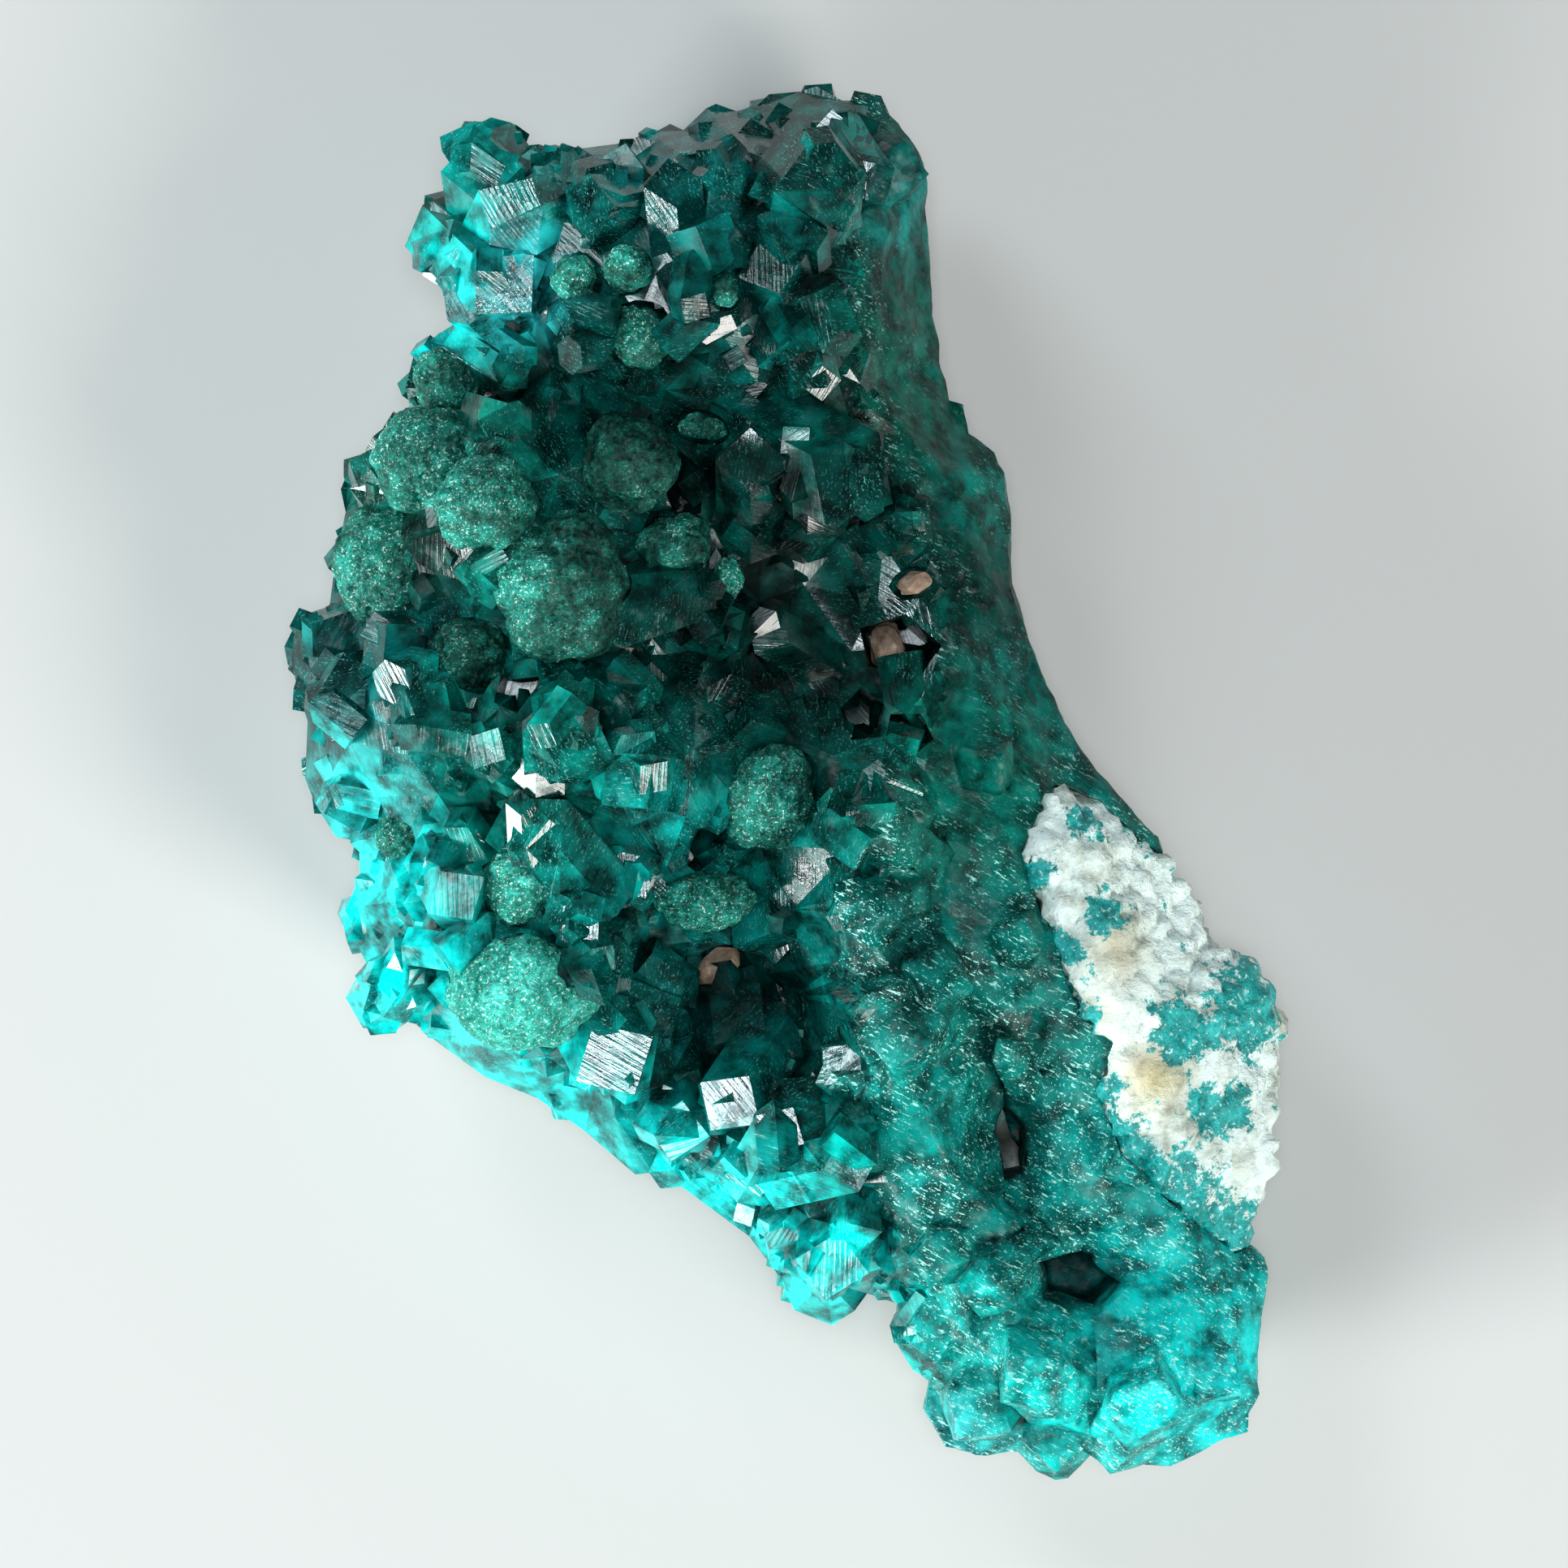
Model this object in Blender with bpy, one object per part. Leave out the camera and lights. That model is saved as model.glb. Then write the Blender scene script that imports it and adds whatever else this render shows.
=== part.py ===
# Dioptase with malachite: a hand specimen lying on its back, crystals upwards.
# A crust of intergrown dioptase covers a pale rock, velvety malachite balls sit in the crust,
# and a few tan calcite grains fill its pits. Plan sizes below are in millimetres, with +X to
# the right and +Y to the top of the specimen; the origin is the middle of its resting face.

import math
import random

import bmesh
import bpy
from mathutils import Matrix, Vector, geometry, noise

MM = 0.001

# Driving dimensions
CRUST_LEVEL = 11.5
RIGHTWARD_FALL = 0.12
CRUST_BUMPS = 0.55
RIM_LEVEL = 6.4
RIM_BAND = 1.3
RIM_SWAY = 1.6
EDGE_ROUNDING = 1.6
UNDERCUT_WIDTH = 4.2
CRUST_THICKNESS = 5.2
LOWEST_ROCK_TOP = 3.2
CRUST_CLEARANCE = 0.9
UNDERSIDE_BUMPS = 0.5
GAP = 0.25
TOP_SPACING = 2.4
UNDERSIDE_SPACING = 4.0
GRID_LOOSENESS = 0.28
CRYSTAL_SCALE = 1.25
CRYSTAL_LENGTH = 1.5
TIP_RISE = 0.3
SEED = 7

# Edges shorter than this are collapsed, and faces flatter than this are merged
SLIVER = 0.09
FLAT_ENOUGH = math.radians(1.5)

# Dioptase's rhombohedral faces lie this far from its basal plane, each over a prism edge
RHOMB_ANGLE = math.radians(51.0)
RHOMB_BEARINGS = (30.0, 150.0, 270.0)
FACE_UP = 150.0
# How close to level an end face may lie on a background crystal, in degrees
LEVEL_ENOUGH = 12.0
# Bare width kept between background crystals and the pale rock
PATCH_MARGIN = 2.0

# The silhouette, clockwise from the tall crystal at the upper left
UPPER_EDGE = [
    (-12.4, 26.0), (-11.6, 26.4), (-10.8, 26.2), (-10.0, 25.2), (-9.1, 25.4), (-8.4, 25.2),
    (-6.0, 25.5), (-5.4, 25.9), (-4.0, 25.9), (-3.1, 26.8), (-2.7, 27.0), (-1.9, 26.7),
    (-1.1, 26.9), (-0.6, 27.4), (0.6, 27.5), (1.3, 27.7), (2.3, 27.1), (3.4, 27.0),
    (4.5, 26.3), (5.4, 25.1),
]
RIGHT_EDGE = [
    (5.7, 23.5), (5.7, 21.3), (6.0, 18.7), (6.1, 16.8), (6.6, 15.3), (7.1, 15.1),
    (7.4, 14.0), (8.4, 13.2), (8.8, 12.4), (9.1, 8.0), (9.6, 6.3), (10.2, 4.4),
    (11.1, 2.4), (12.4, 0.5), (14.0, -1.3), (14.9, -2.1), (15.2, -3.5), (16.4, -5.1),
    (17.0, -6.4), (18.1, -7.3), (19.0, -8.3), (19.5, -9.4), (19.2, -11.4), (19.6, -12.4),
    (19.2, -12.9), (18.8, -16.0), (18.3, -18.2), (19.0, -18.9), (19.1, -19.6),
    (18.8, -22.7), (18.9, -24.2),
]
LOWER_EDGE = [
    (18.5, -25.0), (18.4, -25.7), (17.2, -26.0), (15.3, -27.0), (14.0, -27.1),
    (12.3, -26.7), (11.3, -27.6), (10.8, -27.7), (10.0, -27.4), (9.3, -26.5), (7.6, -26.6),
    (6.4, -26.3), (5.6, -24.9), (5.8, -23.8), (5.1, -23.3), (4.4, -22.1), (4.5, -20.6),
    (3.3, -20.2), (2.8, -20.9), (1.9, -21.5), (0.4, -20.9), (-0.2, -19.5), (-1.4, -17.9),
    (-4.1, -15.9), (-5.2, -15.4), (-5.9, -15.5), (-7.9, -13.8), (-9.8, -12.5),
]
LEFT_EDGE = [
    (-11.9, -11.6), (-13.8, -10.2), (-15.1, -9.2), (-16.2, -8.0), (-17.1, -6.2),
    (-17.4, -4.9), (-16.9, -3.7), (-16.9, -2.3), (-17.8, -2.1), (-18.6, -0.8),
    (-19.0, 0.2), (-18.9, 2.5), (-19.3, 3.7), (-19.6, 4.9), (-19.5, 5.9), (-18.1, 7.1),
    (-17.8, 9.0), (-17.4, 10.8), (-17.6, 11.7), (-17.3, 12.5), (-16.4, 13.3),
    (-15.7, 14.4), (-14.8, 14.8), (-15.0, 15.7), (-14.7, 17.0), (-13.7, 17.9),
    (-13.0, 18.2), (-13.0, 19.7), (-13.3, 21.0), (-14.0, 22.5), (-13.8, 23.2),
    (-13.2, 23.4), (-12.8, 25.3),
]
OUTLINE = UPPER_EDGE + RIGHT_EDGE + LOWER_EDGE + LEFT_EDGE

# Broad relief of the crust: x, y, half width, half length, turn in degrees, rise
RELIEF = {
    "head": (-3.5, 21.0, 11.0, 7.5, 0, 2.5),
    "neck valley": (-7.5, 14.8, 6.0, 1.9, -15, -1.4),
    "left lobe": (-13.0, 11.5, 5.5, 5.5, 0, 3.4),
    "centre lump": (-8.8, 8.0, 4.2, 4.0, 0, 2.6),
    "upper centre lump": (-5.2, 12.5, 3.0, 2.6, 0, 1.5),
    "lower left lobe": (-13.5, 3.0, 7.0, 5.0, 0, 3.2),
    "middle lobe": (-6.2, 0.6, 6.5, 5.2, 0, 3.8),
    "lower left lump": (-10.4, -7.2, 5.5, 4.2, 0, 3.4),
    "recess": (-1.6, -8.6, 6.2, 5.0, -20, -4.2),
    "lower shelf": (-3.5, -12.8, 6.0, 3.0, -30, -1.0),
    "upper rib": (3.2, -2.5, 3.6, 5.0, 0, 2.2),
    "rib": (4.2, -9.5, 3.2, 7.0, 12, 2.8),
    "lower rib": (6.6, -17.5, 3.4, 6.0, 20, 2.2),
    "centre valley": (1.2, 6.5, 5.0, 6.5, 10, -2.0),
    "right slab": (11.0, -9.0, 6.0, 10.0, 25, 0.6),
    "groove": (8.9, -13.3, 1.4, 4.4, 5, -1.8),
    "pit hollow": (11.4, -19.4, 3.2, 2.4, -10, -1.8),
    "bottom lobe": (12.6, -23.0, 7.5, 4.5, 5, 2.2),
    "flank": (15.5, -8.5, 4.5, 8.0, 30, 0.8),
}

# Angular pits between the crystals: x, y, half width, half length, turn, depth
PITS = {
    "upper hole": (-3.9, 11.6, 1.0, 1.6, 8, 3.4),
    "tan hole": (4.5, 5.4, 1.9, 1.4, -12, 3.6),
    "square hole": (3.1, 2.7, 1.0, 1.2, 6, 3.6),
    "square hole corner": (4.9, 2.0, 1.2, 1.0, -30, 3.2),
    "left gap": (-10.3, 3.9, 0.9, 1.4, -25, 3.4),
    "middle gap": (-3.1, -2.5, 0.8, 1.3, -40, 3.4),
    "right pit": (11.5, -19.5, 1.9, 1.2, -15, 3.2),
    "groove pit": (8.9, -14.1, 0.7, 1.9, 8, 2.6),
}

# Crystals that stand out: x, y, width, how far they stand proud, lean, heading of the lean, spin
CRYSTALS = {
    "tall upper left": (-11.7, 24.6, 3.0, 1.6, 58, 98, 20),
    "upper left pair": (-8.8, 24.3, 2.0, 1.0, 45, 80, 100),
    "left shoulder": (-11.4, 21.8, 1.9, 0.5, 44, 190, 40),
    "pale blade upper": (-10.1, 22.9, 2.9, 1.1, 47, 60, FACE_UP),
    "pale blade lower": (-10.9, 21.3, 2.6, 1.0, 55, 215, FACE_UP),
    "striated square": (-10.3, 18.8, 3.0, 1.2, 51, 315, FACE_UP),
    "dark square": (-8.3, 17.2, 2.4, 0.9, 66, 200, FACE_UP),
    "left ledge": (-13.7, 16.9, 2.5, 0.8, 62, 165, FACE_UP),
    "long blade": (-10.4, 15.7, 1.5, 0.5, 84, 325, 0),
    "short blade": (-9.9, 16.5, 1.0, 0.4, 80, 325, 0),
    "upper column left": (-6.2, 24.4, 1.9, 1.4, 70, 88, 10),
    "upper column right": (-4.4, 23.6, 2.1, 1.5, 66, 96, 35),
    "upper column middle": (-2.1, 24.6, 2.0, 1.3, 72, 84, 0),
    "great crown": (1.0, 24.2, 3.6, 1.9, 40, 80, 60),
    "crown facet": (1.9, 26.0, 1.5, 0.8, 48, 95, FACE_UP),
    "upper right wedge": (3.6, 23.0, 1.9, 1.2, 54, 300, FACE_UP),
    "right shoulder": (4.4, 24.7, 2.4, 0.9, 45, 50, 80),
    "barrel upper": (0.1, 20.8, 2.5, 0.9, 20, 270, 15),
    "barrel middle": (-0.2, 19.2, 2.6, 0.9, 26, 280, 40),
    "barrel lower": (0.3, 17.4, 3.2, 0.9, 22, 250, 5),
    "dark centre": (-3.6, 18.4, 3.0, 0.8, 34, 230, 60),
    "dark centre upper": (-3.2, 21.1, 2.4, 0.9, 30, 120, 80),
    "neck crystal": (0.6, 15.6, 1.8, 1.1, 44, 240, 20),
    "neck sliver": (-2.8, 16.0, 1.2, 0.9, 70, 75, 0),
    "blue white cap": (-1.3, 13.2, 2.5, 1.4, 50, 90, FACE_UP),
    "broad teal face": (3.3, 11.4, 3.8, 1.3, 64, 330, FACE_UP),
    "teal face neighbour": (5.3, 10.5, 1.8, 0.9, 40, 20, 70),
    "right of centre": (0.2, 9.8, 2.2, 1.0, 35, 200, 10),
    "grey blade": (-7.1, 6.3, 2.4, 0.6, 60, 200, FACE_UP),
    "centre sliver": (-1.0, 6.2, 1.9, 0.8, 58, 150, FACE_UP),
    "left corner block": (-18.1, 6.0, 2.8, 0.8, 38, 150, FACE_UP),
    "left corner lower": (-17.6, 3.6, 2.6, 0.9, 40, 190, 30),
    "left side upper": (-15.2, 5.8, 2.3, 1.2, 33, 110, 60),
    "left side block": (-14.2, 2.4, 2.5, 1.3, 28, 240, 20),
    "curved pale": (-11.8, 1.6, 1.7, 1.1, 46, 150, FACE_UP),
    "emerald knob": (-8.1, 2.3, 2.3, 1.6, 24, 60, 45),
    "left pale triangle": (-15.6, 0.1, 1.5, 1.0, 52, 20, FACE_UP),
    "left lower corner": (-17.6, -0.9, 2.2, 0.6, 50, 210, 10),
    "grey triangle": (-9.8, -1.1, 2.7, 1.2, 61, 130, FACE_UP),
    "middle block": (-6.0, 3.3, 2.4, 1.2, 30, 30, 30),
    "middle block lower": (-5.3, -0.4, 2.8, 1.3, 38, 280, 70),
    "bright cluster": (-5.6, -4.0, 2.1, 1.0, 48, 300, FACE_UP),
    "white square": (-7.5, -5.7, 1.9, 1.0, 52, 315, FACE_UP),
    "rib head": (2.8, -1.2, 2.6, 1.2, 42, 140, 25),
    "white pentagon": (2.0, -2.3, 1.5, 1.3, 51, 250, FACE_UP),
    "blue pentagon": (2.2, -5.1, 1.9, 1.0, 54, 200, FACE_UP),
    "dark round": (4.0, -0.8, 2.8, 0.9, 18, 90, 50),
    "sparkling block": (3.0, -8.8, 3.2, 1.4, 34, 170, 15),
    "sparkling block lower": (4.4, -10.6, 2.4, 0.9, 38, 240, 60),
    "white cube": (8.5, -10.2, 1.3, 1.0, 50, 120, FACE_UP),
    "stepped face left": (-6.2, -11.4, 3.2, 1.3, 52, 300, FACE_UP),
    "stepped face middle": (-2.5, -13.0, 2.6, 1.2, 49, 235, FACE_UP),
    "stepped face right": (0.1, -13.0, 2.0, 1.2, 53, 60, FACE_UP),
    "recess crystal left": (-4.6, -8.6, 3.0, 1.2, 40, 20, 40),
    "recess crystal": (-1.2, -9.6, 2.8, 1.1, 36, 340, 10),
    "recess edge blade": (1.9, -10.6, 2.0, 0.9, 56, 140, FACE_UP),
    "lens face upper": (3.1, -14.5, 2.2, 1.5, 55, 15, FACE_UP),
    "lens face lower": (5.2, -21.6, 2.4, 0.6, 53, 190, FACE_UP),
    "shelf crystal": (-4.3, -14.2, 2.4, 0.9, 46, 260, FACE_UP),
    "shelf edge": (-1.0, -15.6, 2.2, 0.9, 50, 280, 35),
    "shelf prism": (1.0, -15.7, 2.3, 1.1, 52, 275, 0),
    "low tip": (1.7, -19.5, 2.7, 0.7, 50, 262, 25),
    "low tip left": (-0.3, -17.9, 2.0, 0.8, 40, 220, 60),
    "rib foot": (5.3, -18.3, 1.9, 1.1, 46, 180, 20),
    "pale corner": (7.2, -25.1, 2.8, 0.6, 48, 235, FACE_UP),
    "pale hexagon": (10.7, -26.4, 2.5, 0.5, 50, 268, 30),
    "bottom block": (9.2, -22.4, 2.8, 1.0, 36, 140, 10),
    "bottom block right": (14.4, -23.3, 2.8, 0.9, 32, 60, 50),
    "bottom corner": (17.4, -23.6, 2.4, 0.6, 46, 330, 20),
    "slab crystal": (9.2, -5.6, 1.9, 0.6, 30, 80, 10),
    "slab crystal upper": (8.2, 1.0, 2.2, 0.6, 28, 30, 45),
    "slab crystal lower": (12.9, -15.0, 2.0, 0.6, 34, 200, 25),
}

# Malachite balls: x, y, radius, how far the middle sits above the crust, plan stretch, turn
MALACHITE = {
    "malachite_twin_left": (-8.15, 19.6, 0.92, 0.2, 1.0, 0),
    "malachite_twin_right": (-6.1, 19.9, 0.92, 0.2, 1.0, 0),
    "malachite_neck": (-5.6, 17.4, 1.25, 0.1, 1.0, 0),
    "malachite_bead_upper": (-2.3, 19.0, 0.6, 1.0, 1.0, 0),
    "malachite_left_shoulder": (-13.3, 15.8, 1.1, 0.2, 1.1, 60),
    "malachite_left_crest": (-13.8, 12.7, 1.75, -0.4, 1.15, 35),
    "malachite_left_flank": (-15.6, 8.7, 1.7, -0.4, 1.15, 80),
    "malachite_speckled": (-11.5, 10.9, 1.75, 0.2, 1.0, 0),
    "malachite_great_ball": (-8.5, 7.6, 2.3, 0.5, 1.1, 60),
    "malachite_dark_ball": (-5.9, 12.5, 1.8, 0.0, 1.0, 0),
    "malachite_round_cap": (-4.2, 9.2, 1.4, 0.5, 1.0, 0),
    "malachite_bead_centre": (-2.2, 8.1, 0.7, 0.5, 1.3, 100),
    "malachite_bead_neck": (-3.2, 13.9, 0.6, 0.2, 1.5, 170),
    "malachite_shadow_ball": (-12.2, 5.0, 1.4, -0.1, 1.0, 0),
    "malachite_velvet_patch": (-0.7, -0.6, 1.75, 0.3, 1.25, 50),
    "malachite_tan_tuft": (-3.0, -4.6, 1.3, 0.8, 1.5, 25),
    "malachite_lower_ball": (-10.2, -4.0, 1.6, 0.7, 1.0, 0),
    "malachite_bright_ball": (-10.3, -8.2, 2.35, -0.9, 1.15, 165),
    "malachite_left_tuft": (-15.0, -1.9, 0.9, 0.0, 1.2, 30),
}

FLATTENING = 0.9
MALACHITE_SWELL = 0.3
MALACHITE_KNOBS = 1.4
FINE_BALL = 2.2
CALCITE_SWELL = 0.5
CALCITE_KNOBS = 1.9
# Tan calcite grains in the pits: x, y, radius, sink below the crust, stretch, turn
CALCITE = {
    "calcite_stub": (4.1, 5.3, 0.85, 1.2, 1.5, 95),
    "calcite_crumb": (5.1, 7.9, 0.55, 0.0, 1.4, 20),
    "calcite_wedge": (-3.5, 6.9, 0.6, 0.0, 1.5, 140),
    "calcite_patch": (-2.6, -7.2, 0.8, -0.4, 1.3, 30),
}

# Massive crust without free crystals, on the right and at the foot
MASSIVE = [
    (2.6, 21.0), (6.5, 21.5), (9.5, 11.5), (11.0, 3.5), (15.5, -4.0), (20.0, -10.5),
    (19.6, -25.5), (9.0, -25.0), (7.4, -19.5), (6.2, -14.5), (5.6, -6.0), (6.0, 0.8),
    (6.4, 7.5), (3.0, 14.0),
]
# Where the pale rock reaches the surface on the right flank
FLANK_PATCH = [
    (10.9, -0.3), (12.4, -0.8), (14.1, -2.6), (15.6, -3.4), (17.6, -5.2), (21.0, -7.5),
    (21.5, -17.6), (17.9, -18.4), (15.8, -16.8), (13.4, -14.2), (12.5, -12.0),
    (13.2, -10.2), (11.5, -8.4), (10.6, -5.6), (9.5, -2.6),
]
# Extra fringe of the rock's own surface over the crust's
FLANK_PROUD = 0.35

ROCK_SPACING = 3.2
ROCK_SWAY = 1.1
# The rock's sides: height, and how far they flare beyond the footprint
ROCK_SIDES = [(4.6, 0.7), (2.4, 1.0), (0.0, 0.0)]
# The resting face of the rock, clockwise from the upper left
FOOTPRINT = [
    (-9.5, 22.0), (-4.0, 23.0), (1.2, 23.6), (2.6, 20.0), (2.8, 14.0), (5.0, 10.0),
    (6.0, 4.5), (8.6, -0.5), (12.2, -4.5), (15.6, -10.0), (15.4, -16.0), (15.6, -22.0),
    (13.0, -23.6), (8.8, -23.0), (7.4, -18.5), (2.0, -17.0), (-3.0, -12.8), (-9.0, -9.0),
    (-13.6, -6.4), (-14.6, -1.0), (-15.8, 3.6), (-14.2, 8.5), (-13.4, 12.0), (-10.0, 15.4),
    (-9.8, 19.0),
]

COLOURS = {
    "dioptase": ((0.0, 0.30, 0.25), 0.12),
    "malachite": ((0.02, 0.26, 0.12), 0.7),
    "matrix": ((0.80, 0.79, 0.72), 0.85),
    "calcite": ((0.52, 0.38, 0.27), 0.8),
}


def clear_scene():
    for thing in list(bpy.data.objects):
        bpy.data.objects.remove(thing)


def material(name):
    colour, roughness = COLOURS[name]
    made = bpy.data.materials.get(name) or bpy.data.materials.new(name)
    made.use_nodes = True
    shader = made.node_tree.nodes["Principled BSDF"]
    shader.inputs["Base Color"].default_value = (*colour, 1.0)
    shader.inputs["Roughness"].default_value = roughness
    shader.inputs["Metallic"].default_value = 0.0
    return made


def object_from(form, name, material_name):
    mesh = bpy.data.meshes.new(name)
    form.to_mesh(mesh)
    form.free()
    mesh.materials.append(material(material_name))
    thing = bpy.data.objects.new(name, mesh)
    bpy.context.scene.collection.objects.link(thing)
    return thing


def apply_boolean(thing, other, operation, solver="EXACT"):
    cut = thing.modifiers.new(operation.lower(), "BOOLEAN")
    cut.operation = operation
    cut.object = other
    cut.solver = solver
    graph = bpy.context.evaluated_depsgraph_get()
    result = bpy.data.meshes.new_from_object(thing.evaluated_get(graph))
    thing.modifiers.clear()
    thing.data = result
    bpy.data.objects.remove(other)


def tidy_surface(thing):
    """Removes slivers shorter than a hair's width, and the crumbs that a cut leaves loose."""
    form = bmesh.new()
    form.from_mesh(thing.data)
    bmesh.ops.dissolve_degenerate(form, dist=SLIVER * MM, edges=form.edges)
    bmesh.ops.dissolve_limit(
        form, angle_limit=FLAT_ENOUGH, verts=form.verts, edges=form.edges
    )
    loose = [edge for edge in form.edges if not edge.link_faces]
    bmesh.ops.delete(form, geom=loose, context="EDGES")
    unseen = set(form.verts)
    bodies = []
    while unseen:
        body = {unseen.pop()}
        front = list(body)
        while front:
            here = front.pop()
            near = {edge.other_vert(here) for edge in here.link_edges} & unseen
            unseen -= near
            body |= near
            front.extend(near)
        bodies.append(body)
    bodies.sort(key=len, reverse=True)
    crumbs = [vert for body in bodies[1:] for vert in body]
    bmesh.ops.delete(form, geom=crumbs, context="VERTS")
    form.to_mesh(thing.data)
    form.free()


def edge_distance(x, y, outline):
    """Distance in plan to the outline, negative outside it."""
    point = Vector((x, y))
    nearest = 1e9
    inside = False
    for (ax, ay), (bx, by) in zip(outline, outline[1:] + outline[:1]):
        run = Vector((bx - ax, by - ay))
        share = (point - Vector((ax, ay))).dot(run) / run.length_squared
        share = min(1.0, max(0.0, share))
        nearest = min(nearest, (point - Vector((ax, ay)) - run * share).length)
        if (ay > y) != (by > y) and x < (bx - ax) * (y - ay) / (by - ay) + ax:
            inside = not inside
    return nearest if inside else -nearest


def grown(outline, by):
    """A clockwise outline moved outwards in plan."""
    moved = []
    for before, here, after in zip(
        outline[-1:] + outline[:-1], outline, outline[1:] + outline[:1]
    ):
        along = (Vector(after) - Vector(before)).normalized()
        moved.append((here[0] - along.y * by, here[1] + along.x * by))
    return moved


def relief(x, y):
    """Height that the broad lumps and hollows add at a point."""
    total = 0.0
    for cx, cy, half_x, half_y, turn, rise in RELIEF.values():
        angle = math.radians(turn)
        dx = (x - cx) * math.cos(angle) + (y - cy) * math.sin(angle)
        dy = (y - cy) * math.cos(angle) - (x - cx) * math.sin(angle)
        reach = (dx / half_x) ** 2 + (dy / half_y) ** 2
        if reach < 1:
            total += rise * (1 - reach) ** 2 * (1 + reach)
    return total


def rim_height(x, y):
    return RIM_LEVEL + RIM_SWAY * noise.noise(Vector((x / 4.5, y / 4.5, 5.0)))


def crust_height(x, y):
    inward = max(0.0, edge_distance(x, y, OUTLINE))
    level = CRUST_LEVEL + relief(x, y) - RIGHTWARD_FALL * max(0.0, x - 2.0)
    rise = 1 - math.exp(-inward / EDGE_ROUNDING)
    bumps = CRUST_BUMPS * noise.noise(Vector((x / 2.4, y / 2.4, 3.0)))
    low = rim_height(x, y) + RIM_BAND / 2
    return low + (level - low) * rise + bumps * rise


def underside_height(x, y):
    inward = max(0.0, edge_distance(x, y, OUTLINE))
    share = min(1.0, inward / UNDERCUT_WIDTH)
    low = CRUST_CLEARANCE + UNDERSIDE_BUMPS * noise.noise(Vector((x / 3.0, y / 3.0, 9.0)))
    return low + (rim_height(x, y) - RIM_BAND / 2 - low) * (1 - share) ** 1.6


def scattered_points(outline, spacing, margin):
    """Points on a loosened triangular grid, at least margin inside the outline."""
    draw = random.Random(SEED)
    xs = [x for x, _ in outline]
    ys = [y for _, y in outline]
    points = []
    row_step = spacing * math.sqrt(3) / 2
    for row in range(int((max(ys) - min(ys)) / row_step) + 2):
        for column in range(int((max(xs) - min(xs)) / spacing) + 2):
            x = min(xs) + (column + 0.5 * (row % 2)) * spacing
            y = min(ys) + row * row_step
            x += draw.uniform(-GRID_LOOSENESS, GRID_LOOSENESS) * spacing
            y += draw.uniform(-GRID_LOOSENESS, GRID_LOOSENESS) * spacing
            if edge_distance(x, y, outline) > margin:
                points.append((x, y))
    return points


def sheet_faces(form, outline, inner, rim, height_at, facing_up):
    """A triangulated surface through the inner points that shares the rim vertices."""
    plan = [Vector(p[:2]) for p in outline + inner]
    edges = [(i, (i + 1) % len(outline)) for i in range(len(outline))]
    found, _, triangles, origins, _, _ = geometry.delaunay_2d_cdt(
        plan, edges, [], 1, 1e-5
    )
    verts = []
    for point, came_from in zip(found, origins):
        if came_from and came_from[0] < len(outline):
            verts.append(rim[came_from[0]])
        else:
            z = height_at(point.x, point.y)
            verts.append(form.verts.new(Vector((point.x, point.y, z)) * MM))
    for triangle in triangles:
        corners = [verts[i] for i in triangle]
        form.faces.new(corners if facing_up else corners[::-1])


def layered_body(name, rims, top, under, slot):
    """A closed body: sloping sides through the rims, from top to bottom, and two surfaces.

    Each rim is a closed line of points. top and under give a surface's inner plan points
    and the height over any of them.
    """
    form = bmesh.new()
    rows = [[form.verts.new(Vector(point) * MM) for point in rim] for rim in rims]
    sheet_faces(form, rims[0], top[0], rows[0], top[1], True)
    sheet_faces(form, rims[-1], under[0], rows[-1], under[1], False)
    for upper, lower in zip(rows, rows[1:]):
        for i in range(len(upper)):
            after = (i + 1) % len(upper)
            form.faces.new((upper[i], upper[after], lower[after], lower[i]))
    bmesh.ops.recalc_face_normals(form, faces=form.faces)
    return object_from(form, name, slot)


def specimen_body(name, raised=0.0):
    """The whole specimen's rounded mass, before crystals grow on it."""
    half = RIM_BAND / 2
    rims = [
        [(x, y, rim_height(x, y) + half + raised) for x, y in OUTLINE],
        [(x, y, rim_height(x, y) - half) for x, y in OUTLINE],
    ]
    top = scattered_points(OUTLINE, TOP_SPACING, 0.5 * TOP_SPACING)
    under = scattered_points(OUTLINE, UNDERSIDE_SPACING, 0.5 * UNDERSIDE_SPACING)
    return layered_body(
        name,
        rims,
        (top, lambda x, y: crust_height(x, y) + raised),
        (under, underside_height),
        "dioptase",
    )


def crystal(name, place, width, length, lean, heading, spin):
    """A six-sided prism with three rhombohedral faces at its upper end, about its middle."""
    form = bmesh.new()
    bmesh.ops.create_cone(
        form, cap_ends=True, segments=6, radius1=width / 2 * MM, radius2=width / 2 * MM,
        depth=length * MM,
    )
    tip = Vector((0, 0, length / 2 * MM))
    for bearing in RHOMB_BEARINGS:
        facing = Vector((math.sin(RHOMB_ANGLE), 0, math.cos(RHOMB_ANGLE)))
        facing.rotate(Matrix.Rotation(math.radians(bearing), 3, "Z"))
        cut = bmesh.ops.bisect_plane(
            form, geom=form.verts[:] + form.edges[:] + form.faces[:],
            plane_co=tip, plane_no=facing, clear_outer=True,
        )
        rim = [part for part in cut["geom_cut"] if isinstance(part, bmesh.types.BMEdge)]
        bmesh.ops.contextual_create(form, geom=rim)
    bmesh.ops.recalc_face_normals(form, faces=form.faces)
    turn = (
        Matrix.Translation(Vector(place) * MM)
        @ Matrix.Rotation(math.radians(heading), 4, "Z")
        @ Matrix.Rotation(math.radians(lean), 4, "Y")
        @ Matrix.Rotation(math.radians(spin), 4, "Z")
    )
    bmesh.ops.transform(form, matrix=turn, verts=form.verts)
    return object_from(form, name, "dioptase")


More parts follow.
